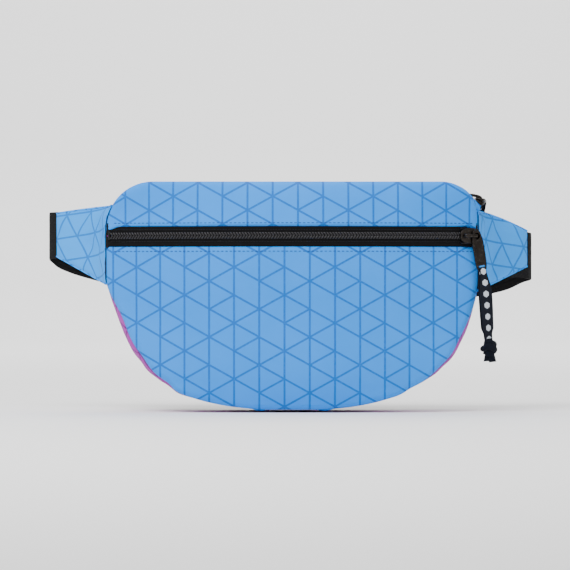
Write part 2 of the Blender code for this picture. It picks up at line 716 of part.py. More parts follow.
def build_buckle(plastic, male_axis):
    half = 0.5 * BUCKLE_THICK
    bm = bmesh.new()
    centred_block(bm, (FEMALE_FROM, -half, -BUCKLE_HALF_HEIGHT), (FEMALE_TO, half, BUCKLE_HALF_HEIGHT))
    female = add_mesh("buckle_female", bm, plastic)
    inner = half - WALL - 0.5 * MM
    combine(female, "UNION", lambda m: strap_frame(m, -1, -FEMALE_FROM), "frame")
    combine(female, "DIFFERENCE", lambda m: centred_block(
        m, (FEMALE_FROM + 4 * MM, -inner, -21.5 * MM), (FEMALE_TO + 5 * MM, inner, 21.5 * MM)), "cavity")
    combine(female, "DIFFERENCE", lambda m: centred_block(
        m, (-28 * MM, -inner, -30 * MM), (FEMALE_TO + 5 * MM, inner, 30 * MM)), "side_openings")
    combine(female, "DIFFERENCE", lambda m: strap_slot(m, -1), "slot")
    bevel(female, 1.2 * MM)

    bm = bmesh.new()
    centred_block(bm, (MALE_FROM, -6 * MM, -24 * MM), (MALE_TO, 6 * MM, 24 * MM))
    male = add_mesh("buckle_male", bm, plastic, male_axis)
    combine(male, "UNION", lambda m: strap_frame(m, 1, MALE_TO), "frame")
    combine(male, "UNION", lambda m: centred_block(
        m, (-20 * MM, -2 * MM, -4.5 * MM), (MALE_FROM + 3 * MM, 2 * MM, 4.5 * MM)), "tongue")
    combine(male, "DIFFERENCE", lambda m: strap_slot(m, 1), "slot")
    bevel(male, 1.2 * MM)
    for name, sign in (("buckle_prong_upper", 1), ("buckle_prong_lower", -1)):
        build_prong(name, sign, plastic, male_axis)


def build_prong(name, sign, plastic, male_axis):
    """A springy arm of the male half; it bends in near its root when the buckle is squeezed."""
    pivot = Vector((PRONG_PIVOT.x, 0.0, sign * PRONG_PIVOT.z))
    axis = add_axis(name + "_axis", BUCKLE_PLACE @ Matrix.Translation(pivot), male_axis)
    outline = [(12.2, 12.0), (-22, 14.0), (-25, 16.5), (-24, 20), (-19, 22.6), (-8, 23.4), (-5, 21), (-2, 18.2), (12.2, 17.0)]
    bm = bmesh.new()
    faces = []
    for y in (-3 * MM, 3 * MM):
        faces.append([bm.verts.new(BUCKLE_PLACE @ Vector((x * MM, y, sign * z * MM))) for x, z in outline])
    bm.faces.new(faces[0])
    bm.faces.new(reversed(faces[1]))
    for i in range(len(outline)):
        j = (i + 1) % len(outline)
        bm.faces.new((faces[0][i], faces[1][i], faces[1][j], faces[0][j]))
    bevel(add_mesh(name, bm, plastic, axis), 0.5 * MM, 1)


def clear_scene():
    for thing in list(bpy.data.objects):
        bpy.data.objects.remove(thing, do_unlink=True)


def main():
    clear_scene()
    blue = material("blue_print", (0.14, 0.42, 0.68), 0.75)
    pink = material("pink_print", (0.52, 0.12, 0.36), 0.75)
    lining = material("lining", (0.03, 0.03, 0.035), 0.8)
    mesh_cloth = material("back_mesh", (0.025, 0.025, 0.03), 0.9)
    foam = material("foam", (0.3, 0.3, 0.3), 0.95)
    tape = material("zip_tape", (0.012, 0.012, 0.015), 0.8)
    coil = material("zip_coil", (0.01, 0.01, 0.012), 0.45)
    gunmetal = material("gunmetal", (0.06, 0.055, 0.05), 0.35, 1.0)
    navy = material("navy_ribbon", (0.01, 0.016, 0.03), 0.7)
    webbing = material("webbing", (0.015, 0.015, 0.018), 0.7)
    plastic = material("buckle_plastic", (0.02, 0.02, 0.022), 0.4)

    build_front_panels(blue)
    build_flat_panels(mesh_cloth, lining)
    build_bottom_gusset(pink)
    build_seam_bindings(lining)
    build_top_gusset(blue)
    build_zip("front", front_arc, FRONT_ZIP_HEIGHT, FRONT_ZIP_HALF_ANGLE, ("upper", "lower"), tape, coil)
    build_zip("main", main_zip_point, MAIN_ZIP_Y, MAIN_ZIP_HALF_ANGLE, ("rear", "front"), tape, coil)
    front_pivot = add_axis("front_zip_axis", Matrix.Translation((0.0, FRONT_ZIP_CENTRE_Y, 0.0)))
    main_centre_z = BASE_Z + MAIN_ZIP_TOP - MAIN_ZIP_RADIUS
    main_pivot = add_axis("main_zip_axis", Matrix.Translation((0.0, 0.0, main_centre_z)))
    hang = math.radians(-85) - FRONT_TAB_ANGLE
    build_pull("front", front_slider_place(), FRONT_TAB_ANGLE, FRONT_RIBBON_ROUTE, hang, gunmetal, navy, front_pivot)
    build_pull("main", main_slider_place(), MAIN_TAB_ANGLE, MAIN_RIBBON_ROUTE, 0.0, gunmetal, navy, main_pivot)
    for side in WINGS:
        build_wing(side, blue, foam, mesh_cloth)
    male_axis = add_axis("buckle_slide_axis", BUCKLE_PLACE)
    build_belt(webbing, male_axis)
    build_buckle(plastic, male_axis)


main()
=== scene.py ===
"""The looks of a zipped waist pack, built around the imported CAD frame."""

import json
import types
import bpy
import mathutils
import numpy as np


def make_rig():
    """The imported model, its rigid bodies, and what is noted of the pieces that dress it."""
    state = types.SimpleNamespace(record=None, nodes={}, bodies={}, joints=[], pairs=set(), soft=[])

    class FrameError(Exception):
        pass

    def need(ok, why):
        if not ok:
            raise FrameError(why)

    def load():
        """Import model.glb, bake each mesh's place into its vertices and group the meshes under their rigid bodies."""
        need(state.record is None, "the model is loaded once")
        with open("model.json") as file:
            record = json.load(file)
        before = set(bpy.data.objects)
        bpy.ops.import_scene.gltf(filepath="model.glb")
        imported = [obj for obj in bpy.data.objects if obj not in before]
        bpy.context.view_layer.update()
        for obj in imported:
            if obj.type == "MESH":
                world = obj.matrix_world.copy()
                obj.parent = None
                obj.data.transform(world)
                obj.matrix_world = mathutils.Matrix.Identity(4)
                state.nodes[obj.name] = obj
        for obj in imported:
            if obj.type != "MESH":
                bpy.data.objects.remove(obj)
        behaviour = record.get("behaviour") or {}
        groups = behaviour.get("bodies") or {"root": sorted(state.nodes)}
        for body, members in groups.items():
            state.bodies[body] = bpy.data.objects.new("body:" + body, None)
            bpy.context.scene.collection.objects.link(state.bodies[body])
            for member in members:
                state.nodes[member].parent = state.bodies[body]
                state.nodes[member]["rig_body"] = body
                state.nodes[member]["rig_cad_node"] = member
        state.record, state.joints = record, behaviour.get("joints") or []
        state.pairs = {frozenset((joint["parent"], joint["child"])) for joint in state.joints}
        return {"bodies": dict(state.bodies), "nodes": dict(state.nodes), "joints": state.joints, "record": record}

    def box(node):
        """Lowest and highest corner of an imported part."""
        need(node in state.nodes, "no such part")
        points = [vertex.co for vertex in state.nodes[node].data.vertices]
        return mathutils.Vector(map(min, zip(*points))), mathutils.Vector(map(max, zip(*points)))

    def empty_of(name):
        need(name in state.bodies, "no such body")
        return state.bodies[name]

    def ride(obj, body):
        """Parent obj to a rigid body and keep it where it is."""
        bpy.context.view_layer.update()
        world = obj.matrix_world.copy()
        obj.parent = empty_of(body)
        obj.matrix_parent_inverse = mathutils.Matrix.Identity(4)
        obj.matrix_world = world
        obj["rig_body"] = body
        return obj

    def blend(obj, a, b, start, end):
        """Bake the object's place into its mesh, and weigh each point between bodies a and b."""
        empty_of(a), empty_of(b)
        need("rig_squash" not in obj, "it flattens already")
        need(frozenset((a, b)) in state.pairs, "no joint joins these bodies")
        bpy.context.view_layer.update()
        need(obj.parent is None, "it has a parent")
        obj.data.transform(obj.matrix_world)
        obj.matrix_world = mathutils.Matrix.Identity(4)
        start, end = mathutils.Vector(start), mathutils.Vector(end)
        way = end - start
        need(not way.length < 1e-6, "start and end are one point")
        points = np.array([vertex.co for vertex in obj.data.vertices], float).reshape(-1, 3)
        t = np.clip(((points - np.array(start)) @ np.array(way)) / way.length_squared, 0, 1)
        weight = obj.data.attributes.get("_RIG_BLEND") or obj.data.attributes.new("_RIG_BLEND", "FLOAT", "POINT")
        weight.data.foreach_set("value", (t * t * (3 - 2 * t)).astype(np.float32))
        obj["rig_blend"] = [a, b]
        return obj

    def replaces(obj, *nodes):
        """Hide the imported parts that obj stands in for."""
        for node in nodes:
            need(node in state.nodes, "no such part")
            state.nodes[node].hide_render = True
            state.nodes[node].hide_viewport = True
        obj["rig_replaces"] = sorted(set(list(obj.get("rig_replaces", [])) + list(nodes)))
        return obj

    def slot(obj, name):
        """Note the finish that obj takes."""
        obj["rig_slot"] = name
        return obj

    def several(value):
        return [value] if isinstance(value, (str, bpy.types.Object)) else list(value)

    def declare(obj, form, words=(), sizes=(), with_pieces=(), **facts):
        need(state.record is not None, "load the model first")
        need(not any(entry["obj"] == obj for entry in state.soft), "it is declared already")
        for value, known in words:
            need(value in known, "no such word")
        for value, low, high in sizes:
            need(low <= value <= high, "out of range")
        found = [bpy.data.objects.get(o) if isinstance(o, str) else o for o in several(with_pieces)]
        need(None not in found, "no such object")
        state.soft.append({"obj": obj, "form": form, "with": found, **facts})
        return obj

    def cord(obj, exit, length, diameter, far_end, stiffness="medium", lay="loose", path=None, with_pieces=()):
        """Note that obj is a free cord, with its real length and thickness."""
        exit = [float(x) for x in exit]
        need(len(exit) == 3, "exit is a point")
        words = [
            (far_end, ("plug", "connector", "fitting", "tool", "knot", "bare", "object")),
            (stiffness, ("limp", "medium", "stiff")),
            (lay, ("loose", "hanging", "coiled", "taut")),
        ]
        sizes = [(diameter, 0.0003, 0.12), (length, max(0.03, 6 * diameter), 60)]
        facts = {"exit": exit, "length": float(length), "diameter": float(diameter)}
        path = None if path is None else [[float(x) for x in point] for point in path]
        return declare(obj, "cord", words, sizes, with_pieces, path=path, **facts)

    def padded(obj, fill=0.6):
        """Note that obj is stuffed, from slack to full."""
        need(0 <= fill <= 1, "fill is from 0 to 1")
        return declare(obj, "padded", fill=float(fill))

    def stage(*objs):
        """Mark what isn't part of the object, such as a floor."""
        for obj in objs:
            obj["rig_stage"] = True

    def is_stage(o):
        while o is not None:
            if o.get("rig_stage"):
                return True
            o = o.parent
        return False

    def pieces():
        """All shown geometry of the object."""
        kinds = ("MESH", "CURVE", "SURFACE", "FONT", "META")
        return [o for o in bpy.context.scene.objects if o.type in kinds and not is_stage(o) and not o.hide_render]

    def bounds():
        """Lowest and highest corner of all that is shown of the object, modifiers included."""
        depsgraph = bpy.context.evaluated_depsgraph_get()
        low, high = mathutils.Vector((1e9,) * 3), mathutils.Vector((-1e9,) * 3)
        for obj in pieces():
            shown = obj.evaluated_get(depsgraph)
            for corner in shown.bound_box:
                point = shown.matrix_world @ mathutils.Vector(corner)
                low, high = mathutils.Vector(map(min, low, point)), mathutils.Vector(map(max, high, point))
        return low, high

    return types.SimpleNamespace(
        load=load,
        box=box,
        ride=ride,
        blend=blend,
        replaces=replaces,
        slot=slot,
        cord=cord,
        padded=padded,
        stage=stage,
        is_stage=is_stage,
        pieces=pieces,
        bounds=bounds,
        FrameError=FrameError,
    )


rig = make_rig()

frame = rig.load()

import json
import math

import bmesh
import bpy
from mathutils import Matrix, Vector, noise

MM = 0.001
CAD_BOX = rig.bounds()
BODY_CENTRE = Vector((0.0, -30 * MM, 0.0))
FAR = 0.5  # a centre this far behind a cloth tells its outer side

# Sizes of the bag, read from the frame
LOWER_LOW, LOWER_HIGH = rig.box("front_lower_panel")
UPPER_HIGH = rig.box("front_upper_panel")[1]
TAPE_LOW, TAPE_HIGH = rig.box("front_zip_tape_lower")[0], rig.box("front_zip_tape_upper")[1]
BACK_LOW, BACK_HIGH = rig.box("back_panel")
PANEL_LIFT = 0.3 * MM  # the lower panel starts this far above the bag's lowest line
BASE_Z = LOWER_LOW[2] - PANEL_LIFT
HALF_WIDTH = LOWER_HIGH[0]
TOP_HEIGHT = UPPER_HIGH[2] - BASE_Z
ZIP_HEIGHT = 0.5 * (TAPE_LOW[2] + TAPE_HIGH[2]) - BASE_Z
TAPE_HALF = 8.5 * MM
BACK_THICK = BACK_HIGH[1] - BACK_LOW[1]

# The same curves as the CAD model's
CORNER_RADII = {-1: 38 * MM, 1: 30 * MM}
WIDEST_HEIGHT = 105 * MM
BOTTOM_POWER = 2.2
SIDE_SHAPE = {
    -1: ((0.0, 1.18), (11 * MM, 1.12), (23 * MM, 1.005), (45 * MM, 0.954), (70 * MM, 0.942), (105 * MM, 1.0)),
    1: ((0.0, 1.2), (10 * MM, 1.12), (18 * MM, 1.05), (38 * MM, 1.01), (60 * MM, 0.983), (105 * MM, 1.0)),
}
SIDE_DEPTH, TOP_DEPTH, BOTTOM_DEPTH = 41 * MM, 52 * MM, 58 * MM
FRONT_RADIUS, FRONT_CENTRE_Y = 389 * MM, 319 * MM
MAIN_RADIUS, MAIN_TOP, MAIN_Y = 702 * MM, 178 * MM, -26 * MM
MAIN_HALF_ANGLE = math.radians(12.1)
MAIN_MIDDLE = math.radians(0.4)
FRONT_HALF_ANGLE = math.radians(22.1)

# The print
LATTICE_PITCH = 19.9 * MM
LATTICE_NODE = 22.9 * MM
LINE_WIDTH = 1.6 * MM

# Cloth, seams and stitches; a stitch row is pitch, length and radius
CLOTH = 0.9 * MM
SEAM_IN = 4.2 * MM  # the gussets begin this far behind the front seam
LOWEST = 0.35 * MM  # the gusset and the back start this high, so that they have no point
TOPSTITCH = (3.4 * MM, 2.4 * MM, 0.28 * MM)
TAPE_STITCH = (2.2 * MM, 1.7 * MM, 0.2 * MM)
BOX_STITCH = (2.6 * MM, 2.1 * MM, 0.3 * MM)


# ---- materials ----

class Shader:
    """A small helper that builds a Principled material node by node."""

    def __init__(self, name, roughness=0.6, metallic=0.0, sheen=0.0, specular=0.5):
        self.material = bpy.data.materials.new(name)
        self.material.use_nodes = True
        self.tree = self.material.node_tree
        self.shader = self.tree.nodes["Principled BSDF"]
        self.shader.inputs["Roughness"].default_value = roughness
        self.shader.inputs["Metallic"].default_value = metallic
        self.shader.inputs["Sheen Weight"].default_value = sheen
        self.shader.inputs["Sheen Roughness"].default_value = 0.5
        self.shader.inputs["Specular IOR Level"].default_value = specular

    def node(self, kind, **values):
        made = self.tree.nodes.new(kind)
        for key, value in values.items():
            setattr(made, key, value)
        return made

    def join(self, value, socket):
        if isinstance(value, bpy.types.NodeSocket):
            self.tree.links.new(value, socket)
        else:
            socket.default_value = value

    def math(self, operation, a, b=0.0, c=0.0):
        made = self.node("ShaderNodeMath", operation=operation)
        for value, socket in zip((a, b, c), made.inputs):
            self.join(value, socket)
        return made.outputs[0]

    def times(self, a, b):
        return self.math("MULTIPLY", a, b)

    def plus(self, a, b):
        return self.math("ADD", a, b)

    def ramp(self, value, low, high, to_low, to_high):
        made = self.node("ShaderNodeMapRange", interpolation_type="SMOOTHSTEP")
        for item, socket in zip((value, low, high, to_low, to_high), made.inputs):
            self.join(item, socket)
        return made.outputs[0]

    def mix(self, factor, a, b):
        made = self.node("ShaderNodeMix", data_type="RGBA")
        self.join(factor, made.inputs[0])
        self.join(a, made.inputs[6])
        self.join(b, made.inputs[7])
        return made.outputs[2]

    def uv(self):
        split = self.node("ShaderNodeSeparateXYZ")
        self.tree.links.new(self.node("ShaderNodeUVMap", uv_map="metres").outputs[0], split.inputs[0])
        return split.outputs[0], split.outputs[1]

    def noise(self, scale, detail=3.0):
        coordinates = self.node("ShaderNodeTexCoord")
        made = self.node("ShaderNodeTexNoise")
        made.inputs["Scale"].default_value = scale
        made.inputs["Detail"].default_value = detail
        self.tree.links.new(coordinates.outputs["Object"], made.inputs["Vector"])
        return made.outputs[0]

    def colour(self, value):
        self.join(value, self.shader.inputs["Base Color"])

    def bump(self, height, distance):
        made = self.node("ShaderNodeBump")
        made.inputs["Distance"].default_value = distance
        made.inputs["Strength"].default_value = 1.0
        self.join(height, made.inputs["Height"])
        self.tree.links.new(made.outputs[0], self.shader.inputs["Normal"])

    def stripes(self, coordinate, pitch):
        """0 to 0.5 to 0 again, once per pitch."""
        return self.math("PINGPONG", self.math("DIVIDE", coordinate, pitch), 0.5)


def linear(*rgb):
    """An sRGB colour, 0 to 255, as linear RGBA."""
    return tuple((c / 255 / 12.92 if c < 11 else ((c / 255 + 0.055) / 1.055) ** 2.4) for c in rgb) + (1.0,)


def lighter(colour, factor, lift):
    """A linear colour scaled and lifted a little."""
    return tuple(min(1.0, c * factor + lift) for c in colour[:3]) + (1.0,)


def lattice(make, u, v):
    """1 on the print's lines: uprights, falling diagonals, and rising ones with every other line dashed."""
    lean = make.times(u, math.tan(math.radians(30)))
    falling = make.stripes(make.plus(v, lean), LATTICE_NODE)
    step = make.math("DIVIDE", make.math("SUBTRACT", v, lean), LATTICE_NODE)
    rising = make.math("PINGPONG", step, 0.5)
    number = make.math("ROUND", step)
    odd = make.math("FLOORED_MODULO", number, 2.0)
    column = make.math("FLOOR", make.math("DIVIDE", u, LATTICE_PITCH))
    turn = make.plus(column, make.times(make.math("SUBTRACT", number, odd), 0.5))
    gone = make.times(odd, make.math("SUBTRACT", 1.0, make.math("FLOORED_MODULO", turn, 2.0)))
    upright = make.times(make.stripes(u, LATTICE_PITCH), LATTICE_PITCH)
    across = LATTICE_NODE * math.cos(math.radians(30))
    falling = make.times(falling, across)
    rising = make.plus(make.times(rising, across), make.times(gone, 0.1))
    nearest = make.math("MINIMUM", upright, make.math("MINIMUM", falling, rising))
    return make.ramp(nearest, 0.5 * LINE_WIDTH - 0.25 * MM, 0.5 * LINE_WIDTH + 0.25 * MM, 1.0, 0.0)


def weave(make, u, v, pitch):
    """Height of a plain weave."""
    warp = make.stripes(u, pitch)
    weft = make.stripes(v, pitch)
    return make.times(make.plus(warp, weft), 0.8)


def print_cloth(name, ground, line):
    """Printed polyester: lattice lines over a slightly mottled ground, with a fine weave."""
    make = Shader(name, roughness=0.72, sheen=0.02, specular=0.14)
    u, v = make.uv()
    lines = lattice(make, u, v)
    wear_and_highlight = make.times(lines, make.ramp(make.noise(900.0, 2.0), 0.2, 0.6, 0.72, 1.0))
    mottled = make.mix(make.noise(22.0), ground, lighter(ground, 1.1, 0.01))
    make.colour(make.mix(wear_and_highlight, mottled, line))
    cloth = weave(make, u, v, 0.55 * MM)
    make.bump(make.plus(cloth, make.times(make.noise(260.0), 0.6)), 0.09 * MM)
    return make.material


def plain_cloth(name, colour, pitch, depth, roughness=0.85):
    """Plain woven cloth or tape, with a painted highlight: a little lighter where the threads stand up."""
    make = Shader(name, roughness=roughness, sheen=0.03, specular=0.12)
    u, v = make.uv()
    threads = weave(make, u, v, pitch)
    # painted highlight: the raised threads are painted lighter, patchy from noise
    wear_and_highlight = make.times(threads, make.noise(300.0))
    make.colour(make.mix(wear_and_highlight, colour, lighter(colour, 1.5, 0.001)))
    make.bump(threads, depth)
    return make.material


def webbing_cloth(name, colour):
    """Ribbed webbing: chevron rows along the strap with a smooth selvedge on both edges, and a painted highlight that
    makes the raised rows lighter.
    """
    make = Shader(name, roughness=0.62, sheen=0.03, specular=0.15)
    u, v = make.uv()
    lean = make.times(make.stripes(v, 6.0 * MM), 3.0 * MM)
    rows = make.stripes(make.plus(u, lean), 1.5 * MM)
    cords = make.stripes(v, 3.0 * MM)
    height = make.plus(rows, make.times(cords, 1.2))
    # painted highlight: the raised rows are painted lighter, patchy from noise
    wear_and_highlight = make.times(rows, make.noise(120.0))
    make.colour(make.mix(wear_and_highlight, colour, lighter(colour, 1.8, 0.002)))
    make.bump(height, 0.35 * MM)
    return make.material


def ribbon_cloth(name, colour, mark):
    """Narrow ribbon with plain woven blocks along its middle."""
    make = Shader(name, roughness=0.7, sheen=0.03, specular=0.15)
    u, v = make.uv()
    pitch = 9.0 * MM
    along = make.times(make.stripes(u, pitch), pitch)
    away = make.math("ABSOLUTE", v)
    within = make.ramp(away, 2.0 * MM, 2.2 * MM, 1.0, 0.0)
    notch = make.plus(along, make.times(away, 0.7))
    shape = make.times(within, make.ramp(notch, 2.6 * MM, 2.9 * MM, 1.0, 0.0))
    threads = weave(make, u, v, 0.5 * MM)
    make.colour(make.mix(make.times(shape, 0.85), colour, mark))
    make.bump(make.plus(threads, make.times(shape, 0.5)), 0.12 * MM)
    return make.material


def spacer_mesh(name, colour):
    """Knitted spacer mesh: staggered round holes, darker inside from painted shade."""
    make = Shader(name, roughness=0.9, sheen=0.25, specular=0.2)
    u, v = make.uv()
    pitch, drop = 2.6 * MM, 2.2 * MM
    row = make.math("DIVIDE", v, drop)
    stagger = make.times(make.math("FLOORED_MODULO", make.math("ROUND", row), 2.0), 0.5 * pitch)
    across = make.times(make.stripes(make.plus(u, stagger), pitch), pitch)
    down = make.times(make.math("PINGPONG", row, 0.5), drop)
    reach = make.math("SQRT", make.plus(make.times(across, across), make.times(down, down)))
    solid = make.ramp(reach, 0.45 * MM, 0.85 * MM, 0.0, 1.0)
    # painted shade: the holes are painted at a quarter of the mesh's colour
    make.colour(make.mix(solid, lighter(colour, 0.25, 0.0), colour))
    make.bump(make.plus(solid, make.times(make.noise(700.0), 0.3)), 0.5 * MM)
    return make.material


def moulded(name, colour, roughness=0.42, grain=0.05):
    """Moulded plastic or nylon with a fine spark-eroded grain."""
    make = Shader(name, roughness=roughness, specular=0.3)
    make.colour(make.mix(make.noise(60.0), colour, lighter(colour, 1.35, 0.001)))
    uneven = make.ramp(make.noise(500.0), 0.3, 0.7, roughness - 0.06, roughness + 0.1)
    make.join(uneven, make.shader.inputs["Roughness"])
    make.bump(make.noise(2600.0), grain * MM)
    return make.material


def worn_metal(name, colour):
    """Gunmetal plating with small bright scuffs."""
    make = Shader(name, roughness=0.34, metallic=1.0)
    scuff = make.ramp(make.noise(700.0, 5.0), 0.56, 0.72, 0.0, 1.0)
    make.colour(make.mix(scuff, colour, lighter(colour, 2.0, 0.015)))
    uneven = make.ramp(make.noise(300.0), 0.3, 0.7, 0.26, 0.44)
    make.join(uneven, make.shader.inputs["Roughness"])
    make.bump(make.noise(900.0), 0.03 * MM)
    return make.material


BLUE = print_cloth("blue_print_cloth", linear(6, 134, 230), linear(0, 96, 186))
# painted light: the wings take a lighter copy of the same blue print, as if lit more brightly
LIT_WING_BLUE = print_cloth("wing_print_cloth", linear(26, 148, 238), linear(6, 112, 198))
PINK = print_cloth("pink_print_cloth", linear(158, 52, 156), linear(110, 26, 116))
TAPE = plain_cloth("zip_tape_cloth", linear(8, 8, 10), 0.7 * MM, 0.12 * MM)
LINING = plain_cloth("lining_cloth", linear(22, 22, 26), 0.4 * MM, 0.05 * MM)
BINDING = plain_cloth("binding_cloth", linear(13, 13, 15), 1.1 * MM, 0.2 * MM)
WEBBING = webbing_cloth("belt_webbing", linear(8, 8, 10))
NAVY = ribbon_cloth("navy_ribbon_cloth", linear(7, 12, 24), linear(200, 206, 216))
NAVY_KNOT = plain_cloth("navy_knot_cloth", linear(7, 11, 22), 0.6 * MM, 0.15 * MM)
BACK_MESH = spacer_mesh("spacer_mesh_cloth", linear(24, 24, 27))
COIL = moulded("coil_nylon", linear(30, 29, 32), 0.28)
THREAD = plain_cloth("seam_thread", linear(46, 52, 104), 0.3 * MM, 0.05 * MM, 0.7)
BLACK_THREAD = plain_cloth("belt_thread", linear(30, 30, 33), 0.3 * MM, 0.05 * MM, 0.6)
PLASTIC = moulded("buckle_acetal", linear(15, 15, 17), 0.4, 0.08)
GUNMETAL = worn_metal("slider_gunmetal", linear(46, 42, 39))


# ---- mesh helpers ----

def steps(start, end, count):
    """Evenly spaced numbers from start to end, both included."""
    return [start + (end - start) * i / count for i in range(count + 1)]


def smooth_step(low, high, value):
    t = min(1.0, max(0.0, (value - low) / (high - low)))
    return t * t * (3.0 - 2.0 * t)


def place_mesh(name, mesh, material, sharp):
    """Shade a mesh smoothly up to an angle, in degrees, and put it in the scene as an object."""
    mesh.name = name
    mesh.shade_smooth()
    mesh.set_sharp_from_angle(angle=math.radians(sharp))
    mesh.materials.clear()
    mesh.materials.append(material)
    thing = bpy.data.objects.new(name, mesh)
    bpy.context.collection.objects.link(thing)
    return thing


def surface(name, vertices, faces, material, uvs=None, sharp=40):
    """An open surface; the texture's coordinates are in metres."""
    mesh = bpy.data.meshes.new(name)
    mesh.from_pydata(vertices, [], faces)
    if uvs is not None:
        layer = mesh.uv_layers.new(name="metres")
        for loop in mesh.loops:
            layer.data[loop.index].uv = uvs[loop.vertex_index]
    return place_mesh(name, mesh, material, sharp)


def solid(name, vertices, faces, material, uvs, sharp):
    """A closed mesh, its faces turned outwards."""
    thing = surface(name, vertices, faces, material, uvs, sharp)
    edit_mesh(thing.data)
    return thing


def edit_mesh(mesh, change=None):
    """Apply change(bm) to a mesh, if there is one, and turn its faces outwards."""
    bm = bmesh.new()
    bm.from_mesh(mesh)
    if change:
        change(bm)
    bmesh.ops.recalc_face_normals(bm, faces=bm.faces)
    bm.to_mesh(mesh)
    bm.free()


def ring_faces(base, rings, sides, closed=False):
    """Faces between rings of vertices from base on; an open run gets a cap at both ends."""
    faces = []
    for i in range(rings if closed else rings - 1):
        here, there = base + i * sides, base + (i + 1) % rings * sides
        for j in range(sides):
            k = (j + 1) % sides
            faces.append((here + j, here + k, there + k, there + j))
    if not closed:
        faces.append(tuple(range(base, base + sides)))
        faces.append(tuple(reversed(range(base + (rings - 1) * sides, base + rings * sides))))
    return faces


def grid_object(name, rows, columns, point, material, thickness, centre=BODY_CENTRE, uv=None):
    """A cloth surface from point(a, b), 0 to 1 each way, thickened inwards, away from its outer side."""
    along, across = steps(0.0, 1.0, rows), steps(0.0, 1.0, columns)
    grid = [[point(a, b) for b in across] for a in along]
    uvs = [uv(a, b) for a in along for b in across] if uv else grid_uvs(grid)
    wide = columns + 1
    faces = [(i * wide + j, i * wide + j + 1, (i + 1) * wide + j + 1, (i + 1) * wide + j)
             for i in range(rows) for j in range(columns)]
    outwards = 0.0
    for i in range(0, rows, 4):
        for j in range(0, columns, 4):
            normal = (grid[i][j + 1] - grid[i][j]).cross(grid[i + 1][j] - grid[i][j])
            outwards += normal.dot(grid[i][j] - centre)
    if outwards < 0:
        faces = [tuple(reversed(face)) for face in faces]
    thing = surface(name, [p for row in grid for p in row], faces, material, uvs)
    if thickness:
        modifier = thing.modifiers.new("thickness", "SOLIDIFY")
        modifier.thickness = thickness
        modifier.offset = -1.0
    return thing


def grid_uvs(grid):
    """Lengths along the cloth in metres, measured from the middle column and the first row."""
    middle = len(grid[0]) // 2
    uvs, v = [], 0.0
    for i, row in enumerate(grid):
        if i:
            v += (row[middle] - grid[i - 1][middle]).length
        lengths = [0.0]
        for a, b in zip(row, row[1:]):
            lengths.append(lengths[-1] + (b - a).length)
        uvs += [(length - lengths[middle], v) for length in lengths]
    return uvs


def smooth_path(points, per_step):
    """Catmull-Rom curve through 3-D points."""
    padded = [points[0] * 2 - points[1]] + list(points) + [points[-1] * 2 - points[-2]]
    path = []
    for p, q, r, s in zip(padded, padded[1:], padded[2:], padded[3:]):
        for i in range(per_step):
            t = i / per_step
            path.append(0.5 * (2 * q + (r - p) * t + (2 * p - 5 * q + 4 * r - s) * t * t
                               + (3 * q - p - 3 * r + s) * t ** 3))
    return path + [points[-1].copy()]


def strap(name, points, widths, thickness, material):
    """A flat closed strip with rounded edges; its texture runs along it, in metres."""
    profile = [(-1, 0.35), (-0.93, 0.5), (-0.5, 0.5), (0, 0.5), (0.5, 0.5), (0.93, 0.5), (1, 0.35)]
    profile += [(x, -y) for x, y in reversed(profile)]
    vertices, uvs, along = [], [], 0.0
    for i, point in enumerate(points):
        ahead = points[min(i + 1, len(points) - 1)] - points[max(i - 1, 0)]
        normal = ahead.cross(widths[i]).normalized()
        if i:
            along += (point - points[i - 1]).length
        for across, height in profile:
            vertices.append(point + widths[i] * across + normal * thickness * height)
            uvs.append((along, across * widths[i].length))
    return solid(name, vertices, ring_faces(0, len(points), len(profile)), material, uvs, 50)


def tube(name, points, radii, material, sides=8, closed=False):
    """A tube of round or flat section; radii is (across, up), or a function of the share of its length."""
    vertices, uvs = [], []
    side = Vector((0, 0, 1)) if abs((points[1] - points[0]).normalized().z) < 0.8 else Vector((1, 0, 0))
    along = 0.0
    count = len(points)
    for i, point in enumerate(points):
        after = points[(i + 1) % count] if closed else points[min(i + 1, count - 1)]
        before = points[i - 1] if closed or i else points[0]
        ahead = (after - before).normalized()
        side = (side - ahead * side.dot(ahead)).normalized()
        up = ahead.cross(side)
        wide, tall = radii(i / (count - 1)) if callable(radii) else radii
        if i:
            along += (point - points[i - 1]).length
        for j in range(sides):
            angle = 2 * math.pi * j / sides
            vertices.append(point + side * math.cos(angle) * wide + up * math.sin(angle) * tall)
            uvs.append((along, (j / sides) * math.pi * (wide + tall)))
    return solid(name, vertices, ring_faces(0, count, sides, closed), material, uvs, 60)


WELD = 0.02 * MM


def plate(name, place, loops, low, high, edge, material):
    """A plate with rounded edges from low to high along local Z; loops are its rim and then its holes."""
    curve = bpy.data.curves.new(name + "_outline", "CURVE")
    curve.dimensions = "2D"
    curve.fill_mode = "BOTH"
    curve.extrude = 0.5 * (high - low) - edge
    curve.bevel_depth = edge
    curve.bevel_resolution = 2
    curve.offset = -edge
    for loop in loops:
        spline = curve.splines.new("POLY")
        spline.points.add(len(loop) - 1)
        spline.use_cyclic_u = True
        for target, (x, y) in zip(spline.points, loop):
            target.co = (x, y, 0.0, 1.0)
    source = bpy.data.objects.new(name + "_source", curve)
    bpy.context.collection.objects.link(source)
    bpy.context.view_layer.update()
    evaluated = source.evaluated_get(bpy.context.evaluated_depsgraph_get())
    mesh = bpy.data.meshes.new_from_object(evaluated)
    bpy.data.objects.remove(source)
    mesh.transform(place @ Matrix.Translation((0, 0, 0.5 * (low + high))))
    edit_mesh(mesh, lambda bm: bmesh.ops.remove_doubles(bm, verts=bm.verts, dist=WELD))
    return place_mesh(name, mesh, material, 40)


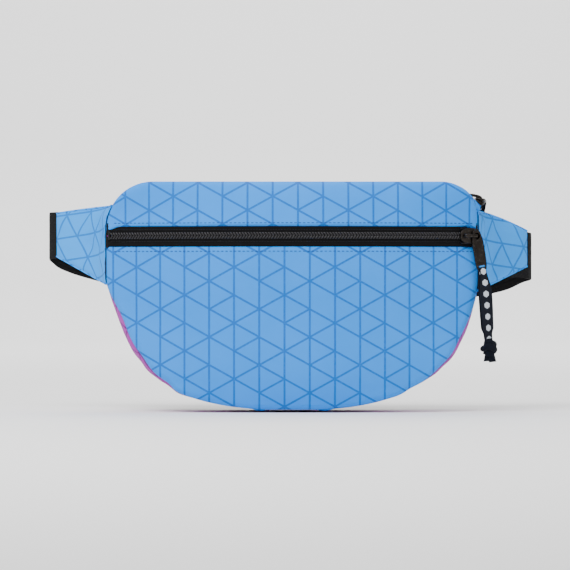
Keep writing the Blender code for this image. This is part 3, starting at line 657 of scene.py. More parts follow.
def rounded(half_x, half_y, squash_x, squash_y, count):
    """A closed outline round the middle: an ellipse at 1 and 1, squarer below that."""
    points = []
    for i in range(count):
        angle = 2 * math.pi * i / count
        c, s = math.cos(angle), math.sin(angle)
        x, y = math.copysign(abs(c) ** squash_x, c), math.copysign(abs(s) ** squash_y, s)
        points.append((half_x * x, half_y * y))
    return points


def oval(cx, cy, half_x, half_y, power=2.0):
    """A closed superellipse outline."""
    return [(cx + x, cy + y) for x, y in rounded(half_x, half_y, 2 / power, 2 / power, 28)]


def stitches(name, path, pitch, length, radius, outwards, material):
    """A row of short thread stitches along a path; outwards(point) is the cloth's normal there."""
    vertices, faces, uvs = [], [], []
    sides = 6
    rings = ((0.0, 0.25), (0.18, 0.8), (0.5, 1.0), (0.82, 0.8), (1.0, 0.25))
    travelled, due = 0.0, 0.5 * pitch
    for a, b in zip(path, path[1:]):
        span = (b - a).length
        while travelled + span >= due:
            start = a.lerp(b, (due - travelled) / span)
            ahead = (b - a).normalized()
            up = outwards(start)
            side = ahead.cross(up).normalized()
            faces += ring_faces(len(vertices), len(rings), sides)
            for share, size in rings:
                middle = start + ahead * length * share + up * radius * (2.2 * share * (1 - share) - 0.2)
                for j in range(sides):
                    angle = 2 * math.pi * j / sides
                    vertices.append(middle + (side * math.cos(angle) + up * math.sin(angle)) * radius * size)
                    uvs.append((length * share, radius * j))
            due += pitch
        travelled += span
    return solid(name, vertices, faces, material, uvs, 60)


def ride(thing, body, slot, *replaced):
    """Fix a piece to a body, give its material slot and hide the CAD nodes it stands for."""
    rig.ride(thing, body)
    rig.slot(thing, slot)
    if replaced:
        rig.replaces(thing, *replaced)
    return thing


# ---- the shape of the bag ----

def blended(table, value):
    """A smooth value between the (place, value) pairs of a short table."""
    for (low, start), (high, end) in zip(table, table[1:]):
        if value <= high:
            return start + (end - start) * smooth_step(low, high, value)
    return table[-1][1]


def side_of(value):
    """-1 on the left of the middle and 1 on the right."""
    return 1 if value > 0 else -1


def half_width(height, side):
    """Width of the front to one side of its middle; side is -1 for left and 1 for right."""
    if height < WIDEST_HEIGHT:
        drop = (WIDEST_HEIGHT - height) / WIDEST_HEIGHT
        plain = HALF_WIDTH * (1.0 - drop ** BOTTOM_POWER) ** (1.0 / BOTTOM_POWER)
        return plain * blended(SIDE_SHAPE[side], height)
    radius = CORNER_RADII[side]
    corner = TOP_HEIGHT - radius
    if height < corner:
        return HALF_WIDTH
    rise = min(radius, height - corner)
    return HALF_WIDTH - radius + math.sqrt(radius ** 2 - rise ** 2)


def seam_depth(height):
    """How far in front of the back face the front seam lies."""
    top = (TOP_DEPTH - SIDE_DEPTH) * smooth_step(150 * MM, TOP_HEIGHT, height)
    bottom = (BOTTOM_DEPTH - SIDE_DEPTH) * (1.0 - smooth_step(0.0, 90 * MM, height))
    return SIDE_DEPTH + top + bottom


def bulge_share(height):
    """How much of the front's full bulge is left at a height: all of it round the zip, none at the seam."""
    upper_edge, lower_edge = ZIP_HEIGHT + TAPE_HALF, 120.0 * MM
    if height > upper_edge:
        return 1.0 - (min(1.0, (height - upper_edge) / (TOP_HEIGHT - upper_edge))) ** 1.6
    if height < lower_edge:
        return 1.0 - ((lower_edge - height) / lower_edge) ** BOTTOM_POWER
    return 1.0


def front_y(x, height):
    """Where the front lies, before its edges turn: the seam's depth and the bow in front of it."""
    share = max(-1.0, min(1.0, x / half_width(height, side_of(x))))
    arc = FRONT_CENTRE_Y - math.sqrt(FRONT_RADIUS ** 2 - (share * HALF_WIDTH) ** 2)
    return -seam_depth(height) - max(0.0, (-SIDE_DEPTH - arc) * bulge_share(height))


def outline_side(side, count=90):
    """One half of the front outline, bottom to top, closed at the middle, as (x, height)."""
    turns = steps(0.0, math.pi, count)
    heights = [max(PANEL_LIFT, TOP_HEIGHT * 0.5 * (1 - math.cos(turn))) for turn in turns]
    points = [Vector((half_width(height, side), height)) for height in heights]
    return [Vector((0.0, PANEL_LIFT))] + points + [Vector((0.0, TOP_HEIGHT))]


OUTLINES = {-1: outline_side(-1), 1: outline_side(1)}


def edge_distance(x, height):
    """Distance from a point of the front to its outline."""
    here = Vector((abs(x), height))
    outline = OUTLINES[side_of(x)]
    nearest = 1.0
    for a, b in zip(outline, outline[1:]):
        ahead = b - a
        if ahead.length_squared < 1e-12:
            continue
        t = min(1.0, max(0.0, (here - a).dot(ahead) / ahead.length_squared))
        nearest = min(nearest, (here - a - ahead * t).length)
    return nearest


def rolled(distance, radius):
    """How far a turned edge falls back at a distance from the seam."""
    if distance >= radius:
        return 0.0
    return radius - math.sqrt(max(0.0, radius ** 2 - (radius - distance) ** 2))


def rough(x, y, z, size):
    """Smooth noise: up to about this size up or down at a place in noise space."""
    return noise.noise(Vector((x, y, z))) * size


def wrinkle(x, height, edge):
    """Small puckers close to the seam and soft dents further in."""
    near = math.exp(-edge / (9 * MM)) * smooth_step(0, 3 * MM, edge)
    pucker = rough(x * 110, height * 110, 3.1, 0.7 * MM) * near
    dent = rough(x * 17, height * 21, 8.4, 1.5 * MM) * smooth_step(2 * MM, 30 * MM, edge)
    return pucker + dent


def front_surface(x, height, zip_edge):
    """The front's cloth: it bulges, falls back at the seam and turns under along the zip."""
    edge = edge_distance(x, height)
    from_zip = abs(height - zip_edge)
    calm = smooth_step(0.0, 22 * MM, from_zip)
    y = front_y(x, height) + rolled(edge, 4.5 * MM) + wrinkle(x, height, edge) * calm
    y += rolled(from_zip, 1.2 * MM) - 0.7 * MM * math.exp(-from_zip / (5 * MM))
    return Vector((x, y, BASE_Z + height))


# ---- body of the bag ----

# how far the print's lattice is moved on each front panel
LOWER_PRINT = Vector((6.0, 131.2)) * MM
UPPER_PRINT = Vector((-4.6, 130.4)) * MM


def front_panels():
    """Printed panels below and above the front zip, with turned edges and topstitching along the zip."""
    low_edge, high_edge = ZIP_HEIGHT - TAPE_HALF - 0.3 * MM, ZIP_HEIGHT + TAPE_HALF - 1.4 * MM

    def spot(share, height, zip_edge):
        return front_surface(share * half_width(height, side_of(share)), height, zip_edge)

    def across(b):
        """Share of the width, with its steps closer together at the sides."""
        return math.sin(0.5 * math.pi * (2 * b - 1)) * 0.4 + (2 * b - 1) * 0.6

    def lower(a, b):
        height = low_edge - (low_edge - 0.4 * MM) * math.sin(0.5 * math.pi * a)
        return spot(across(b), height, low_edge)

    def upper(a, b):
        share = across(b)
        edge = high_edge - 5 * MM * smooth_step(0.9, 1.02, abs(share)) ** 1.4
        return spot(share, edge + (TOP_HEIGHT - edge) * math.sin(0.5 * math.pi * a), edge)

    for name, rows, point, shift in (("lower", 84, lower, LOWER_PRINT), ("upper", 30, upper, UPPER_PRINT)):
        def uv(a, b, point=point, shift=shift):
            place = point(a, b)
            along = FRONT_RADIUS * math.asin(place.x / FRONT_RADIUS)
            return along + shift.x, (place.z - BASE_Z - low_edge) * 1.04 + shift.y
        piece = grid_object(f"front_{name}_cloth", rows, 150, point, BLUE, CLOTH, uv=uv)
        ride(piece, "root", "blue_print", f"front_{name}_panel")
    reach = HALF_WIDTH - 5 * MM
    for name, zip_edge, away in (("below", low_edge, -3.6 * MM), ("above", high_edge, 2.8 * MM)):
        path = [front_surface(x, zip_edge + away, zip_edge) for x in steps(-reach, reach, 120)]
        row = stitches(f"front_topstitch_{name}", path, *TOPSTITCH, front_outwards, THREAD)
        ride(row, "root", "blue_print")


def front_outwards(point):
    """The direction away from the axis that the front bows round."""
    return (point - Vector((0.0, FRONT_CENTRE_Y, point.z))).normalized()


GUSSET_TOP = 146 * MM
GUSSET_END = 147 * MM  # half the width between the gusset's two ends
GUSSET_REACH = 0.985  # share of the main zip's length that the gussets follow


def outline_at(share):
    """Point (x, height) of the outline from the left side round the bottom to the right, share -1 to 1."""
    angle = 0.5 * math.pi * abs(share)
    height = max(LOWEST, GUSSET_TOP * (1.0 - math.cos(angle)))
    side = side_of(share)
    return side * half_width(height, side), height


def outline_outwards(share):
    """The direction square to the outline there, away from the bag."""
    before, after = outline_at(max(-1, share - 0.01)), outline_at(min(1, share + 0.01))
    ahead = Vector((after[0] - before[0], after[1] - before[1])).normalized()
    return Vector((ahead.y, -ahead.x))


def bottom_gusset():
    """The pink band round the sides and the bottom; it sags outwards between its two seams."""
    def point(a, b):
        share = 2 * a - 1
        share = share if abs(share) > 1e-4 else 1e-4
        x, height = outline_at(share)
        out = outline_outwards(share)
        front, back = -seam_depth(height) + SEAM_IN, -BACK_THICK + 1.0 * MM
        low = 1 - smooth_step(0.5, 0.72, abs(share))
        left = smooth_step(0.2, 0.5, -share) * (1 - smooth_step(0.66, 0.8, -share))
        right = smooth_step(0.3, 0.5, share) * (1 - smooth_step(0.6, 0.75, share))
        sag = 0.2 * MM + 3.9 * MM * left + 2.6 * MM * right
        arch = math.sin(math.pi * b)
        swell = sag * arch ** 0.75 if 0 < b < 1 else 0.0
        inset = 1.0 * MM * (1 - smooth_step(0.0, 0.06, b) * (1 - smooth_step(0.94, 1.0, b)))
        ripple = rough(share * 16, b * 5, 2.0, MM) * arch * (0.3 + 0.7 * low)
        move = swell - inset + ripple
        rise = smooth_step(0.86, 1.0, abs(share)) * smooth_step(0.0, 0.3, b)
        place = Vector((x + out.x * move, front + (back - front) * b, BASE_Z + height + out.y * move))
        end = main_arc(MAIN_MIDDLE + math.copysign(GUSSET_REACH * MAIN_HALF_ANGLE, share), -1.6 * MM, place.y)
        end.x = max(-GUSSET_END, min(GUSSET_END, end.x))
        place.x += (end.x - place.x) * rise
        place.z += (end.z - place.z) * rise ** 2
        return place

    piece = grid_object("bottom_gusset_cloth", 150, 20, point, PINK, CLOTH)
    ride(piece, "root", "pink_print", "bottom_gusset")


def main_arc(angle, lift, y):
    """A point over the main zip's arc, which lies in the XZ plane."""
    radius = MAIN_RADIUS + lift
    return Vector((radius * math.sin(angle), y, BASE_Z + MAIN_TOP - MAIN_RADIUS + radius * math.cos(angle)))


def corner_path(share):
    """The front panel's top edge by its share of length, -1 at the left side to 1 at the right."""
    radius = CORNER_RADII[side_of(share)]
    flat = HALF_WIDTH - radius
    along = abs(share) * (flat + 0.5 * math.pi * radius)
    if along <= flat:
        return math.copysign(along, share), TOP_HEIGHT
    angle = (along - flat) / radius
    return math.copysign(flat + radius * math.sin(angle), share), TOP_HEIGHT - radius * (1 - math.cos(angle))


def top_gusset():
    """Blue strips in front of and behind the main zip."""
    def front(a, b):
        share = (2 * a - 1) * GUSSET_REACH
        x, height = corner_path(share)
        seam = Vector((x * 0.993, -seam_depth(height) + SEAM_IN, BASE_Z + height - 0.8 * MM))
        tape = main_arc(MAIN_MIDDLE + share * MAIN_HALF_ANGLE, 0.2 * MM, MAIN_Y - TAPE_HALF)
        place = seam.lerp(tape, b)
        puff = math.sin(math.pi * min(1.0, b)) ** 0.8
        corner = math.exp(-((share - 0.86) / 0.13) ** 2)
        place.z += puff * (1.2 * MM + 5.5 * MM * corner + rough(share * 9, b * 3, 5, MM))
        place.x += puff * 2.0 * MM * smooth_step(0.8, 1.0, share)
        return place

    def rear(a, b):
        share = (2 * a - 1) * GUSSET_REACH
        y = MAIN_Y + TAPE_HALF + (-BACK_THICK + 1.5 * MM - MAIN_Y - TAPE_HALF) * b
        puff = math.sin(math.pi * b) * (0.8 * MM + rough(share * 12, b * 2, 9, 0.6 * MM))
        return main_arc(MAIN_MIDDLE + share * MAIN_HALF_ANGLE, 0.2 * MM + puff, y)

    for name, columns, point in (("front", 14, front), ("rear", 8, rear)):
        piece = grid_object(f"top_gusset_{name}_cloth", 120, columns, point, BLUE, CLOTH)
        ride(piece, "root", "blue_print", f"top_gusset_{name}")
    reach = 0.94 * MAIN_HALF_ANGLE
    for name, sign in (("front", -1), ("rear", 1)):
        y = MAIN_Y + sign * (TAPE_HALF + 1.6 * MM)
        path = [main_arc(MAIN_MIDDLE + angle, 0.5 * MM, y) for angle in steps(-reach, reach, 90)]
        row = stitches(f"main_topstitch_{name}", path, *TOPSTITCH, lambda p: Vector((0, 0, 1)), THREAD)
        ride(row, "root", "blue_print")


def back_outline(share):
    """Outline of the back panel as (x, height), share 0 to 1 anticlockwise from the bottom's middle."""
    flat_end, top_start = 0.03, 0.3
    side_top = MAIN_TOP - MAIN_RADIUS * (1 - math.cos(MAIN_HALF_ANGLE)) - 9 * MM
    side, t = (-1, 1 - share) if share > 0.5 else (1, share)
    if t < flat_end:
        return side * half_width(LOWEST, side) * t / flat_end, LOWEST
    if t < top_start:
        turn = (t - flat_end) / (top_start - flat_end)
        height = max(LOWEST, side_top * (1 - math.cos(0.5 * math.pi * turn)))
        return side * half_width(height, side), height
    turn = (t - top_start) / (0.5 - top_start)
    angle = math.asin((HALF_WIDTH - 1 * MM) / MAIN_RADIUS) * (1 - turn)
    shoulder = 6 * MM * (1 - smooth_step(0, 0.12, turn))
    height = MAIN_TOP - MAIN_RADIUS * (1 - math.cos(angle)) - 1.2 * MM - shoulder
    return side * MAIN_RADIUS * math.sin(angle), height


def back_panel():
    """Padded mesh back: crowned between its binding and two quilted channels."""
    centre = Vector((0.0, 0.5 * (BACK_HIGH[2] + BACK_LOW[2]) + 2 * MM))
    rings, sides = 34, 144

    def point(a, b):
        x, height = back_outline(a)
        edge = Vector((x, BASE_Z + height))
        place = centre.lerp(edge, b)
        margin = (1 - b) * (edge - centre).length
        lift = 3.2 * MM * smooth_step(0.0, 16 * MM, margin)
        for channel in (-52 * MM, 52 * MM):
            near = abs(place.x - channel * (1 + 0.25 * (place.y / (90 * MM))))
            inside = smooth_step(16 * MM, 26 * MM, margin)
            lift -= 2.6 * MM * math.exp(-(near / (3.6 * MM)) ** 2) * inside
        lift -= 1.6 * MM * (1 - smooth_step(0.0, 3 * MM, margin))
        lift += rough(place.x * 26, place.y * 26, 1.5, 0.5 * MM)
        return Vector((place.x, lift - 1.5 * MM, place.y))

    def inwards(a, b):
        return point(a, 1 - b)

    def uv(a, b):
        place = inwards(a, b)
        return place.x, place.z

    piece = grid_object("back_panel_pad", sides, rings, inwards, BACK_MESH, 0.0,
                        centre=Vector((0, -FAR, 0)), uv=uv)
    close_pad(piece, -BACK_THICK + 0.5 * MM)
    ride(piece, "root", "back_mesh", "back_panel")
    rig.padded(piece, fill=0.7)
    rim = [back_outline(share) for share in steps(0.0, 1.0, 160)[:-1]]
    path = [Vector((x, -2.6 * MM, BASE_Z + height)) for x, height in rim]
    binding = tube("back_seam_binding", path, (1.5 * MM, 2.9 * MM), BINDING, 10, closed=True)
    ride(binding, "root", "lining")


def close_pad(piece, y):
    """Close a pad grown from its rim: weld the seam and middle, then add a flat inner face."""
    def open_edges(bm):
        return [edge for edge in bm.edges if len(edge.link_faces) == 1]

    def close(bm):
        bmesh.ops.remove_doubles(bm, verts=bm.verts, dist=WELD)
        made = bmesh.ops.extrude_edge_only(bm, edges=open_edges(bm))["geom"]
        for item in made:
            if isinstance(item, bmesh.types.BMVert):
                item.co.y = y
        bmesh.ops.holes_fill(bm, edges=open_edges(bm), sides=0)

    edit_mesh(piece.data, close)
    piece.data.shade_smooth()
    piece.data.set_sharp_from_angle(angle=math.radians(60))


# ---- zips ----

TAPE_GAP = 0.4 * MM  # from the zip's middle to each tape
TAPE_THICK = 0.6 * MM
COIL_PITCH = 2.3 * MM


def front_arc(angle, lift, z):
    """A point in front of the front zip's arc, which lies in the XY plane."""
    radius = FRONT_RADIUS + lift
    return Vector((radius * math.sin(angle), FRONT_CENTRE_Y - radius * math.cos(angle), z))


def coil_chain(name, point, half_angle, pitch, material):
    """Nylon coil: pairs of slanted loops that meet in a row of V shapes; point(angle, lift, across)."""
    vertices, faces, uvs = [], [], []
    sides = 6
    # across the zip in mm, along it in pitches, and height in mm
    spine = ((2.6, -0.42, 0.25), (2.0, -0.3, 0.85), (1.0, 0.0, 1.05), (0.1, 0.36, 0.7))
    for number in range(int(2 * half_angle / pitch)):
        middle = -half_angle + (number + 0.5) * pitch
        for sign in (-1, 1):
            faces += ring_faces(len(vertices), len(spine), sides)
            for across, shift, height in spine:
                across *= sign * MM
                for j in range(sides):
                    angle = 2 * math.pi * j / sides
                    turn = middle + pitch * (shift + 0.34 * math.cos(angle))
                    vertices.append(point(turn, height * MM + 0.42 * MM * math.sin(angle), across))
                    uvs.append((turn, across))
    return solid(name, vertices, faces, material, uvs, 60)


def zip_closure(prefix, point, radius, half_angle, sides, centre, overrun):
    """Both tapes with a row of stitches, the coil and the end stops; the tapes overrun the zip's ends."""
    reach = 0.99 * half_angle
    for name, sign in sides:
        def tape(a, b, sign=sign):
            away = TAPE_GAP + (TAPE_HALF + 1.5 * MM - TAPE_GAP) * b
            cord = 0.3 * MM * math.exp(-((away - 3.9 * MM) / (0.7 * MM)) ** 2)
            tucked = 0.5 * MM * smooth_step(TAPE_HALF - MM, TAPE_HALF, away)
            angle = (2 * a - 1) * (half_angle + overrun / radius)
            return point(angle, cord - 0.35 * MM - tucked, sign * away)
        piece = grid_object(f"{prefix}_tape_{name}", 110, 14, tape, TAPE, TAPE_THICK, centre=centre)
        ride(piece, "root", "zip_tape", f"{prefix}_zip_tape_{name}")
        path = [point(angle, 0.05 * MM, sign * 4.7 * MM) for angle in steps(-reach, reach, 140)]
        row = stitches(f"{prefix}_tape_stitches_{name}", path, *TAPE_STITCH,
                       lambda p: (p - centre).normalized(), BLACK_THREAD)
        ride(row, "root", "zip_tape")
    chain = coil_chain(f"{prefix}_coil", point, half_angle - 2.6 * MM / radius, COIL_PITCH / radius, COIL)
    ride(chain, "root", "zip_coil", f"{prefix}_zip_chain")
    bridge = ((0, -2.8), (0.5, -2.4), (0.7, 0), (0.5, 2.4), (0, 2.8))
    for name, sign in (("left", -1), ("right", 1)):
        angle = sign * (half_angle - 1.6 * MM / radius)
        path = [point(angle, lift * MM, across * MM) for lift, across in bridge]
        stop = tube(f"{prefix}_stop_{name}", smooth_path(path, 4), (0.9 * MM, 0.5 * MM), COIL, 8)
        ride(stop, "root", "zip_tape", f"{prefix}_zip_stop_{name}")


def zips():
    """The front zip lies upright across the front and the main zip lies flat on top."""
    zip_z = BASE_Z + ZIP_HEIGHT

    def on_front(angle, lift, across):
        return front_arc(angle, lift, zip_z + across)

    def on_top(angle, lift, across):
        return main_arc(MAIN_MIDDLE + angle, lift, MAIN_Y + across)

    zip_closure("front", on_front, FRONT_RADIUS, FRONT_HALF_ANGLE, (("upper", 1), ("lower", -1)),
                Vector((0, FRONT_CENTRE_Y, zip_z)), 1.2 * MM)
    zip_closure("main", on_top, MAIN_RADIUS, MAIN_HALF_ANGLE, (("rear", 1), ("front", -1)),
                Vector((0, MAIN_Y, BASE_Z - FAR)), 0.0)


# ---- sliders, pull tabs, ribbons and knots ----

FRONT_SLIDER_ANGLE, MAIN_SLIDER_ANGLE = math.radians(21.1), math.radians(11.9)
POST_X = 4.5 * MM  # the tab turns about the crown's end
END_BAR = Vector((27.65 * MM, 0.0, 5.4 * MM))
RIBBON_HALF, RIBBON_PINCHED = 5.0 * MM, 2.6 * MM
RIBBON_THICK = 0.75 * MM


def slider_place(prefix):
    """The slider's own frame: X along the zip, Y across it and Z outwards."""
    if prefix == "front":
        c, s = math.cos(FRONT_SLIDER_ANGLE), math.sin(FRONT_SLIDER_ANGLE)
        axes = Matrix(((c, s, 0), (0, 0, 1), (s, -c, 0)))
        origin = front_arc(FRONT_SLIDER_ANGLE, 0.0, BASE_Z + ZIP_HEIGHT)
    else:
        c, s = math.cos(MAIN_SLIDER_ANGLE), math.sin(MAIN_SLIDER_ANGLE)
        axes = Matrix(((c, 0, -s), (0, 1, 0), (s, 0, c)))
        origin = main_arc(MAIN_SLIDER_ANGLE, 0.0, MAIN_Y)
    return Matrix.Translation(origin) @ axes.transposed().to_4x4()


def slider(prefix, place):
    """Slider: a waisted plate with turned-down skirts and an arched crown."""
    body = f"{prefix}_slider_body"
    outline = []
    for x, y in rounded(8.4 * MM, 6.1 * MM, 0.75, 0.6, 40):
        nose, tail = smooth_step(2 * MM, 8.4 * MM, x), smooth_step(2 * MM, 8 * MM, -x)
        outline.append((x, y * (1.0 - 0.22 * nose - 0.06 * tail)))
    top = plate(f"{prefix}_slider_plate", place, [outline], 1.9 * MM, 3.9 * MM, 0.75 * MM, GUNMETAL)
    ride(top, body, "gunmetal", f"{prefix}_slider")
    edge = ((-7, 5.0, 2.4), (-6.6, 5.5, 1.5), (-3, 5.7, 1.1), (3, 5.4, 1.1), (6.4, 4.7, 1.5), (7, 4.2, 2.4))
    for name, sign in (("a", 1), ("b", -1)):
        path = smooth_path([place @ Vector((x * MM, sign * y * MM, z * MM)) for x, y, z in edge], 4)
        skirt = tube(f"{prefix}_slider_skirt_{name}", path, (0.9 * MM, 0.8 * MM), GUNMETAL, 8)
        ride(skirt, body, "gunmetal")
    arch = ((-6.2, 3.2), (-5.6, 5.6), (-4.2, 7.1), (0, 7.6), (3.6, 7.2), (4.9, 6.0), (5.1, 3.2))
    path = smooth_path([place @ Vector((x * MM, 0, z * MM)) for x, z in arch], 5)

    def crown_size(share):
        return (1.5 - 0.3 * math.sin(math.pi * share)) * MM, 0.62 * MM

    crown = tube(f"{prefix}_slider_crown", path, crown_size, GUNMETAL, 10)
    ride(crown, body, "gunmetal")
    boss_rim = oval(-1 * MM, 0, 3.6 * MM, 2.6 * MM)
    boss = plate(f"{prefix}_slider_boss", place, [boss_rim], 3.5 * MM, 4.25 * MM, 0.3 * MM, GUNMETAL)
    ride(boss, body, "gunmetal")


def pull_tab(prefix, place):
    """Pull tab: a flat plate with a raised rim, an eye round the crown and a slot for the ribbon."""
    body = f"{prefix}_tab_body"
    rim = []
    for x, y in rounded(16.8 * MM, 4.9 * MM, 0.55, 0.5, 44):
        x += 12.2 * MM
        rim.append((x, y * (0.84 + 0.16 * smooth_step(-2 * MM, 6 * MM, x))))
    eye = oval(0.2 * MM, 0, 2.7 * MM, 2.6 * MM)
    slot = oval(25.1 * MM, 0, 1.2 * MM, 3.1 * MM, 4.0)
    inner = oval(12.6 * MM, 0, 8.4 * MM, 3.2 * MM, 4.0)
    tab = plate(f"{prefix}_tab_plate", place, [rim, eye, slot], 4.85 * MM, 5.75 * MM, 0.3 * MM, GUNMETAL)
    ride(tab, body, "gunmetal", f"{prefix}_pull_tab")
    loops = [rim, eye, inner, slot]
    raised = plate(f"{prefix}_tab_rim", place, loops, 4.6 * MM, 6.2 * MM, 0.35 * MM, GUNMETAL)
    ride(raised, body, "gunmetal")


def bent_place(place, along, droop):
    """The ribbon's own frame at a distance from the bar; it turns sideways by droop as it leaves the tab."""
    def turned(distance):
        return droop * smooth_step(2 * MM, 16 * MM, distance)

    here = place.copy()
    travelled = 0.0
    while travelled + MM <= along:
        turn = turned(travelled + MM) - turned(travelled)
        here = here @ Matrix.Rotation(turn, 4, "Z") @ Matrix.Translation((MM, 0, 0))
        travelled += MM
    return here @ Matrix.Translation((along - travelled, 0, 0))


def ribbon(prefix, place, route, droop, twist):
    """A ribbon doubled round the tab's end bar; both layers close up towards the knot."""
    line = smooth_path([Vector((x * MM, 0, z * MM)) for x, z in route], 8)
    layers = []
    for offset in (1.9, -1.9):
        layer = []
        for i, spot in enumerate(line):
            ahead = (line[min(i + 1, len(line) - 1)] - line[max(i - 1, 0)]).normalized()
            share = i / (len(line) - 1)
            loose = 0.25 * math.sin(math.pi * share) * twist
            gap = offset * MM * (1.0 - 0.55 * share + loose)
            layer.append(spot + Vector((-ahead.z, 0, ahead.x)) * gap)
        layers.append(layer)
    bend = ((0.4, 1.9), (-1.2, 1.6), (-2.1, 0), (-1.2, -1.6), (0.4, -1.9))
    turn = [Vector((x * MM, 0, z * MM)) for x, z in bend]
    spots = list(reversed(layers[0])) + turn + layers[1]
    points, widths = [], []
    middle = len(layers[0]) + 2
    for i, spot in enumerate(spots):
        here = bent_place(place, spot.x, droop)
        reach = abs(i - middle) / len(layers[0])
        half = RIBBON_PINCHED + (RIBBON_HALF - RIBBON_PINCHED) * smooth_step(0.08, 0.4, reach)
        half *= 1.0 - 0.35 * smooth_step(0.9, 1.0, reach)
        roll = math.radians(9) * math.sin(reach * 5.0) * twist * (1 if i < middle else -0.6)
        points.append(here @ Vector((0, 0, spot.z)))
        widths.append(here.to_3x3() @ Vector((0.0, math.cos(roll) * half, math.sin(roll) * half)))
    piece = strap(f"{prefix}_ribbon_loop", points, widths, RIBBON_THICK, NAVY)
    ride(piece, f"{prefix}_lanyard", "navy_ribbon", f"{prefix}_ribbon")
    return piece, [bent_place(place, spot.x, droop) @ Vector((0, 0, spot.z)) for spot in line]


# two turns round the standing part: across, outwards and down, in mm
KNOT_WRAPS = (
    (-3.6, -1.8, 2.2), (0.5, -3.5, 3.0), (4.7, -1.4, 5.2), (4.4, 1.9, 8.0),
    (0, 3.4, 9.2), (-4.6, 1.8, 8.6), (-5.0, -1.6, 6.6), (-1.6, -3.7, 5.6),
    (3.2, -2.9, 8.2), (4.2, 0.6, 11.2), (0.4, 2.6, 12.0), (-3.4, 0.4, 11.0),
)


def knot(prefix, end, down, side):
    """An overhand knot in the doubled ribbon: two wraps pulled round the standing part, and two cut tails."""
    body = f"{prefix}_lanyard"
    out = side.cross(down)
    pieces = []

    def at(x, y, z):
        return end + side * x * MM + out * y * MM + down * z * MM

    def core_size(share):
        return (3.0 + 1.4 * math.sin(math.pi * share)) * MM, 2.2 * MM

    path = smooth_path([at(*spot) for spot in KNOT_WRAPS], 5)
    pieces.append(tube(f"{prefix}_knot_wrap", path, (2.5 * MM, 1.15 * MM), NAVY_KNOT, 10))
    core = smooth_path([at(0, 0, z) for z in (-0.5, 3, 7, 11, 14)], 4)
    pieces.append(tube(f"{prefix}_knot_core", core, core_size, NAVY_KNOT, 12))
    for name, x, y, lean, reach in (("a", -1.4, 0.6, -0.6, 17.4), ("b", 1.3, -0.6, 0.5, 18.4)):
        points = [at(x + lean * t, y, 12.0 + (reach - 12.0) * t) for t in steps(0.0, 1.0, 6)]
        widths = [side * (2.4 + 0.9 * t) * MM + out * 0.5 * MM * lean * t for t in steps(0.0, 1.0, 6)]
        pieces.append(strap(f"{prefix}_knot_tail_{name}", points, widths, 0.8 * MM, NAVY_KNOT))
    for piece in pieces:
        ride(piece, body, "navy_ribbon")
    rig.replaces(pieces[0], f"{prefix}_knot")
    return pieces


PULLS = (
    # name, tab angle in the zip's plane, ribbon route from the end bar in mm, sideways turn, looseness
    ("front", -80, ((2, 0), (15, 0.2), (28, 0.3), (41, 0.1), (55, 0)), -5, 1.0),
    ("main", 86, ((2, 0.3), (8, 0.6), (13.5, -1.8), (17.7, -9), (19, -22), (19.3, -46), (19.3, -70)), 0, 0.6),
)


def pulls():
    """A slider, a tab, a ribbon and a knot for each zip."""
    for prefix, tab_angle, route, droop, twist in PULLS:
        place = slider_place(prefix)
        slider(prefix, place)
        post = place @ Matrix.Translation((POST_X, 0, 0)) @ Matrix.Rotation(math.radians(tab_angle), 4, "Z")
        pull_tab(prefix, post)
        bar = post @ Matrix.Translation(END_BAR)
        loop, line = ribbon(prefix, bar, route, math.radians(droop), twist)
        down = (line[-1] - line[-2]).normalized()
        side = bent_place(bar, route[-1][0] * MM, math.radians(droop)).to_3x3() @ Vector((0, 1, 0))
        pieces = knot(prefix, line[-1], down, side.normalized())
        length = sum((b - a).length for a, b in zip(line, line[1:]))
        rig.cord(loop, exit=line[0], length=length, diameter=8.6 * MM, far_end="knot", stiffness="limp",
                lay="hanging", path=line, with_pieces=pieces)


# ---- wings ----

WING_TIP = Vector((191.5, 27.0)) * MM
# side: sign, heights of root top, root bottom, tip top, tip bottom and the belt's fold
WINGS = {
    "left": (-1, 162 * MM, 100 * MM, 157.3 * MM, 122.5 * MM, 139.5 * MM),
    "right": (1, 158 * MM, 94.5 * MM, 143 * MM, 114.5 * MM, 124 * MM),
}
WING_HALF = 2.1 * MM
WING_CLOTH = 0.7 * MM
WING_PRINT = {"left": Vector((6.1, 4.0)) * MM, "right": Vector((13.2, 0.5)) * MM}


def wing_height(side, share, rise):
    """Height of the wing's edges and between them; its top edge bows up a little."""
    _, root_top, root_low, tip_top, tip_low, _ = WINGS[side]
    low = root_low + (tip_low - root_low) * share
    top = root_top + (tip_top - root_top) * share ** 1.35
    return low + (top - low) * rise


def wing_point(side, turn, rise, offset):
    """Turn 0 is the front seam, the cloth then lies along the bag's side, leaves it and ends at turn 1."""
    sign = WINGS[side][0]
    root_height = wing_height(side, 0.0, rise)
    root = Vector((half_width(root_height, sign) + 2.2 * MM, -3.0 * MM))
    seam = Vector((root.x - 1.6 * MM, -seam_depth(root_height) + 3.0 * MM))
    share, pull = turn ** 3, (1 - turn) ** 3
    plan = root * (1 - share - pull) + WING_TIP * share + seam * pull
    ahead = ((root - seam) * (1 - turn) ** 2 + (WING_TIP - root) * turn ** 2).normalized()
    return Vector((sign * (plan.x - ahead.y * offset), plan.y + ahead.x * offset,
                   BASE_Z + wing_height(side, share, rise)))


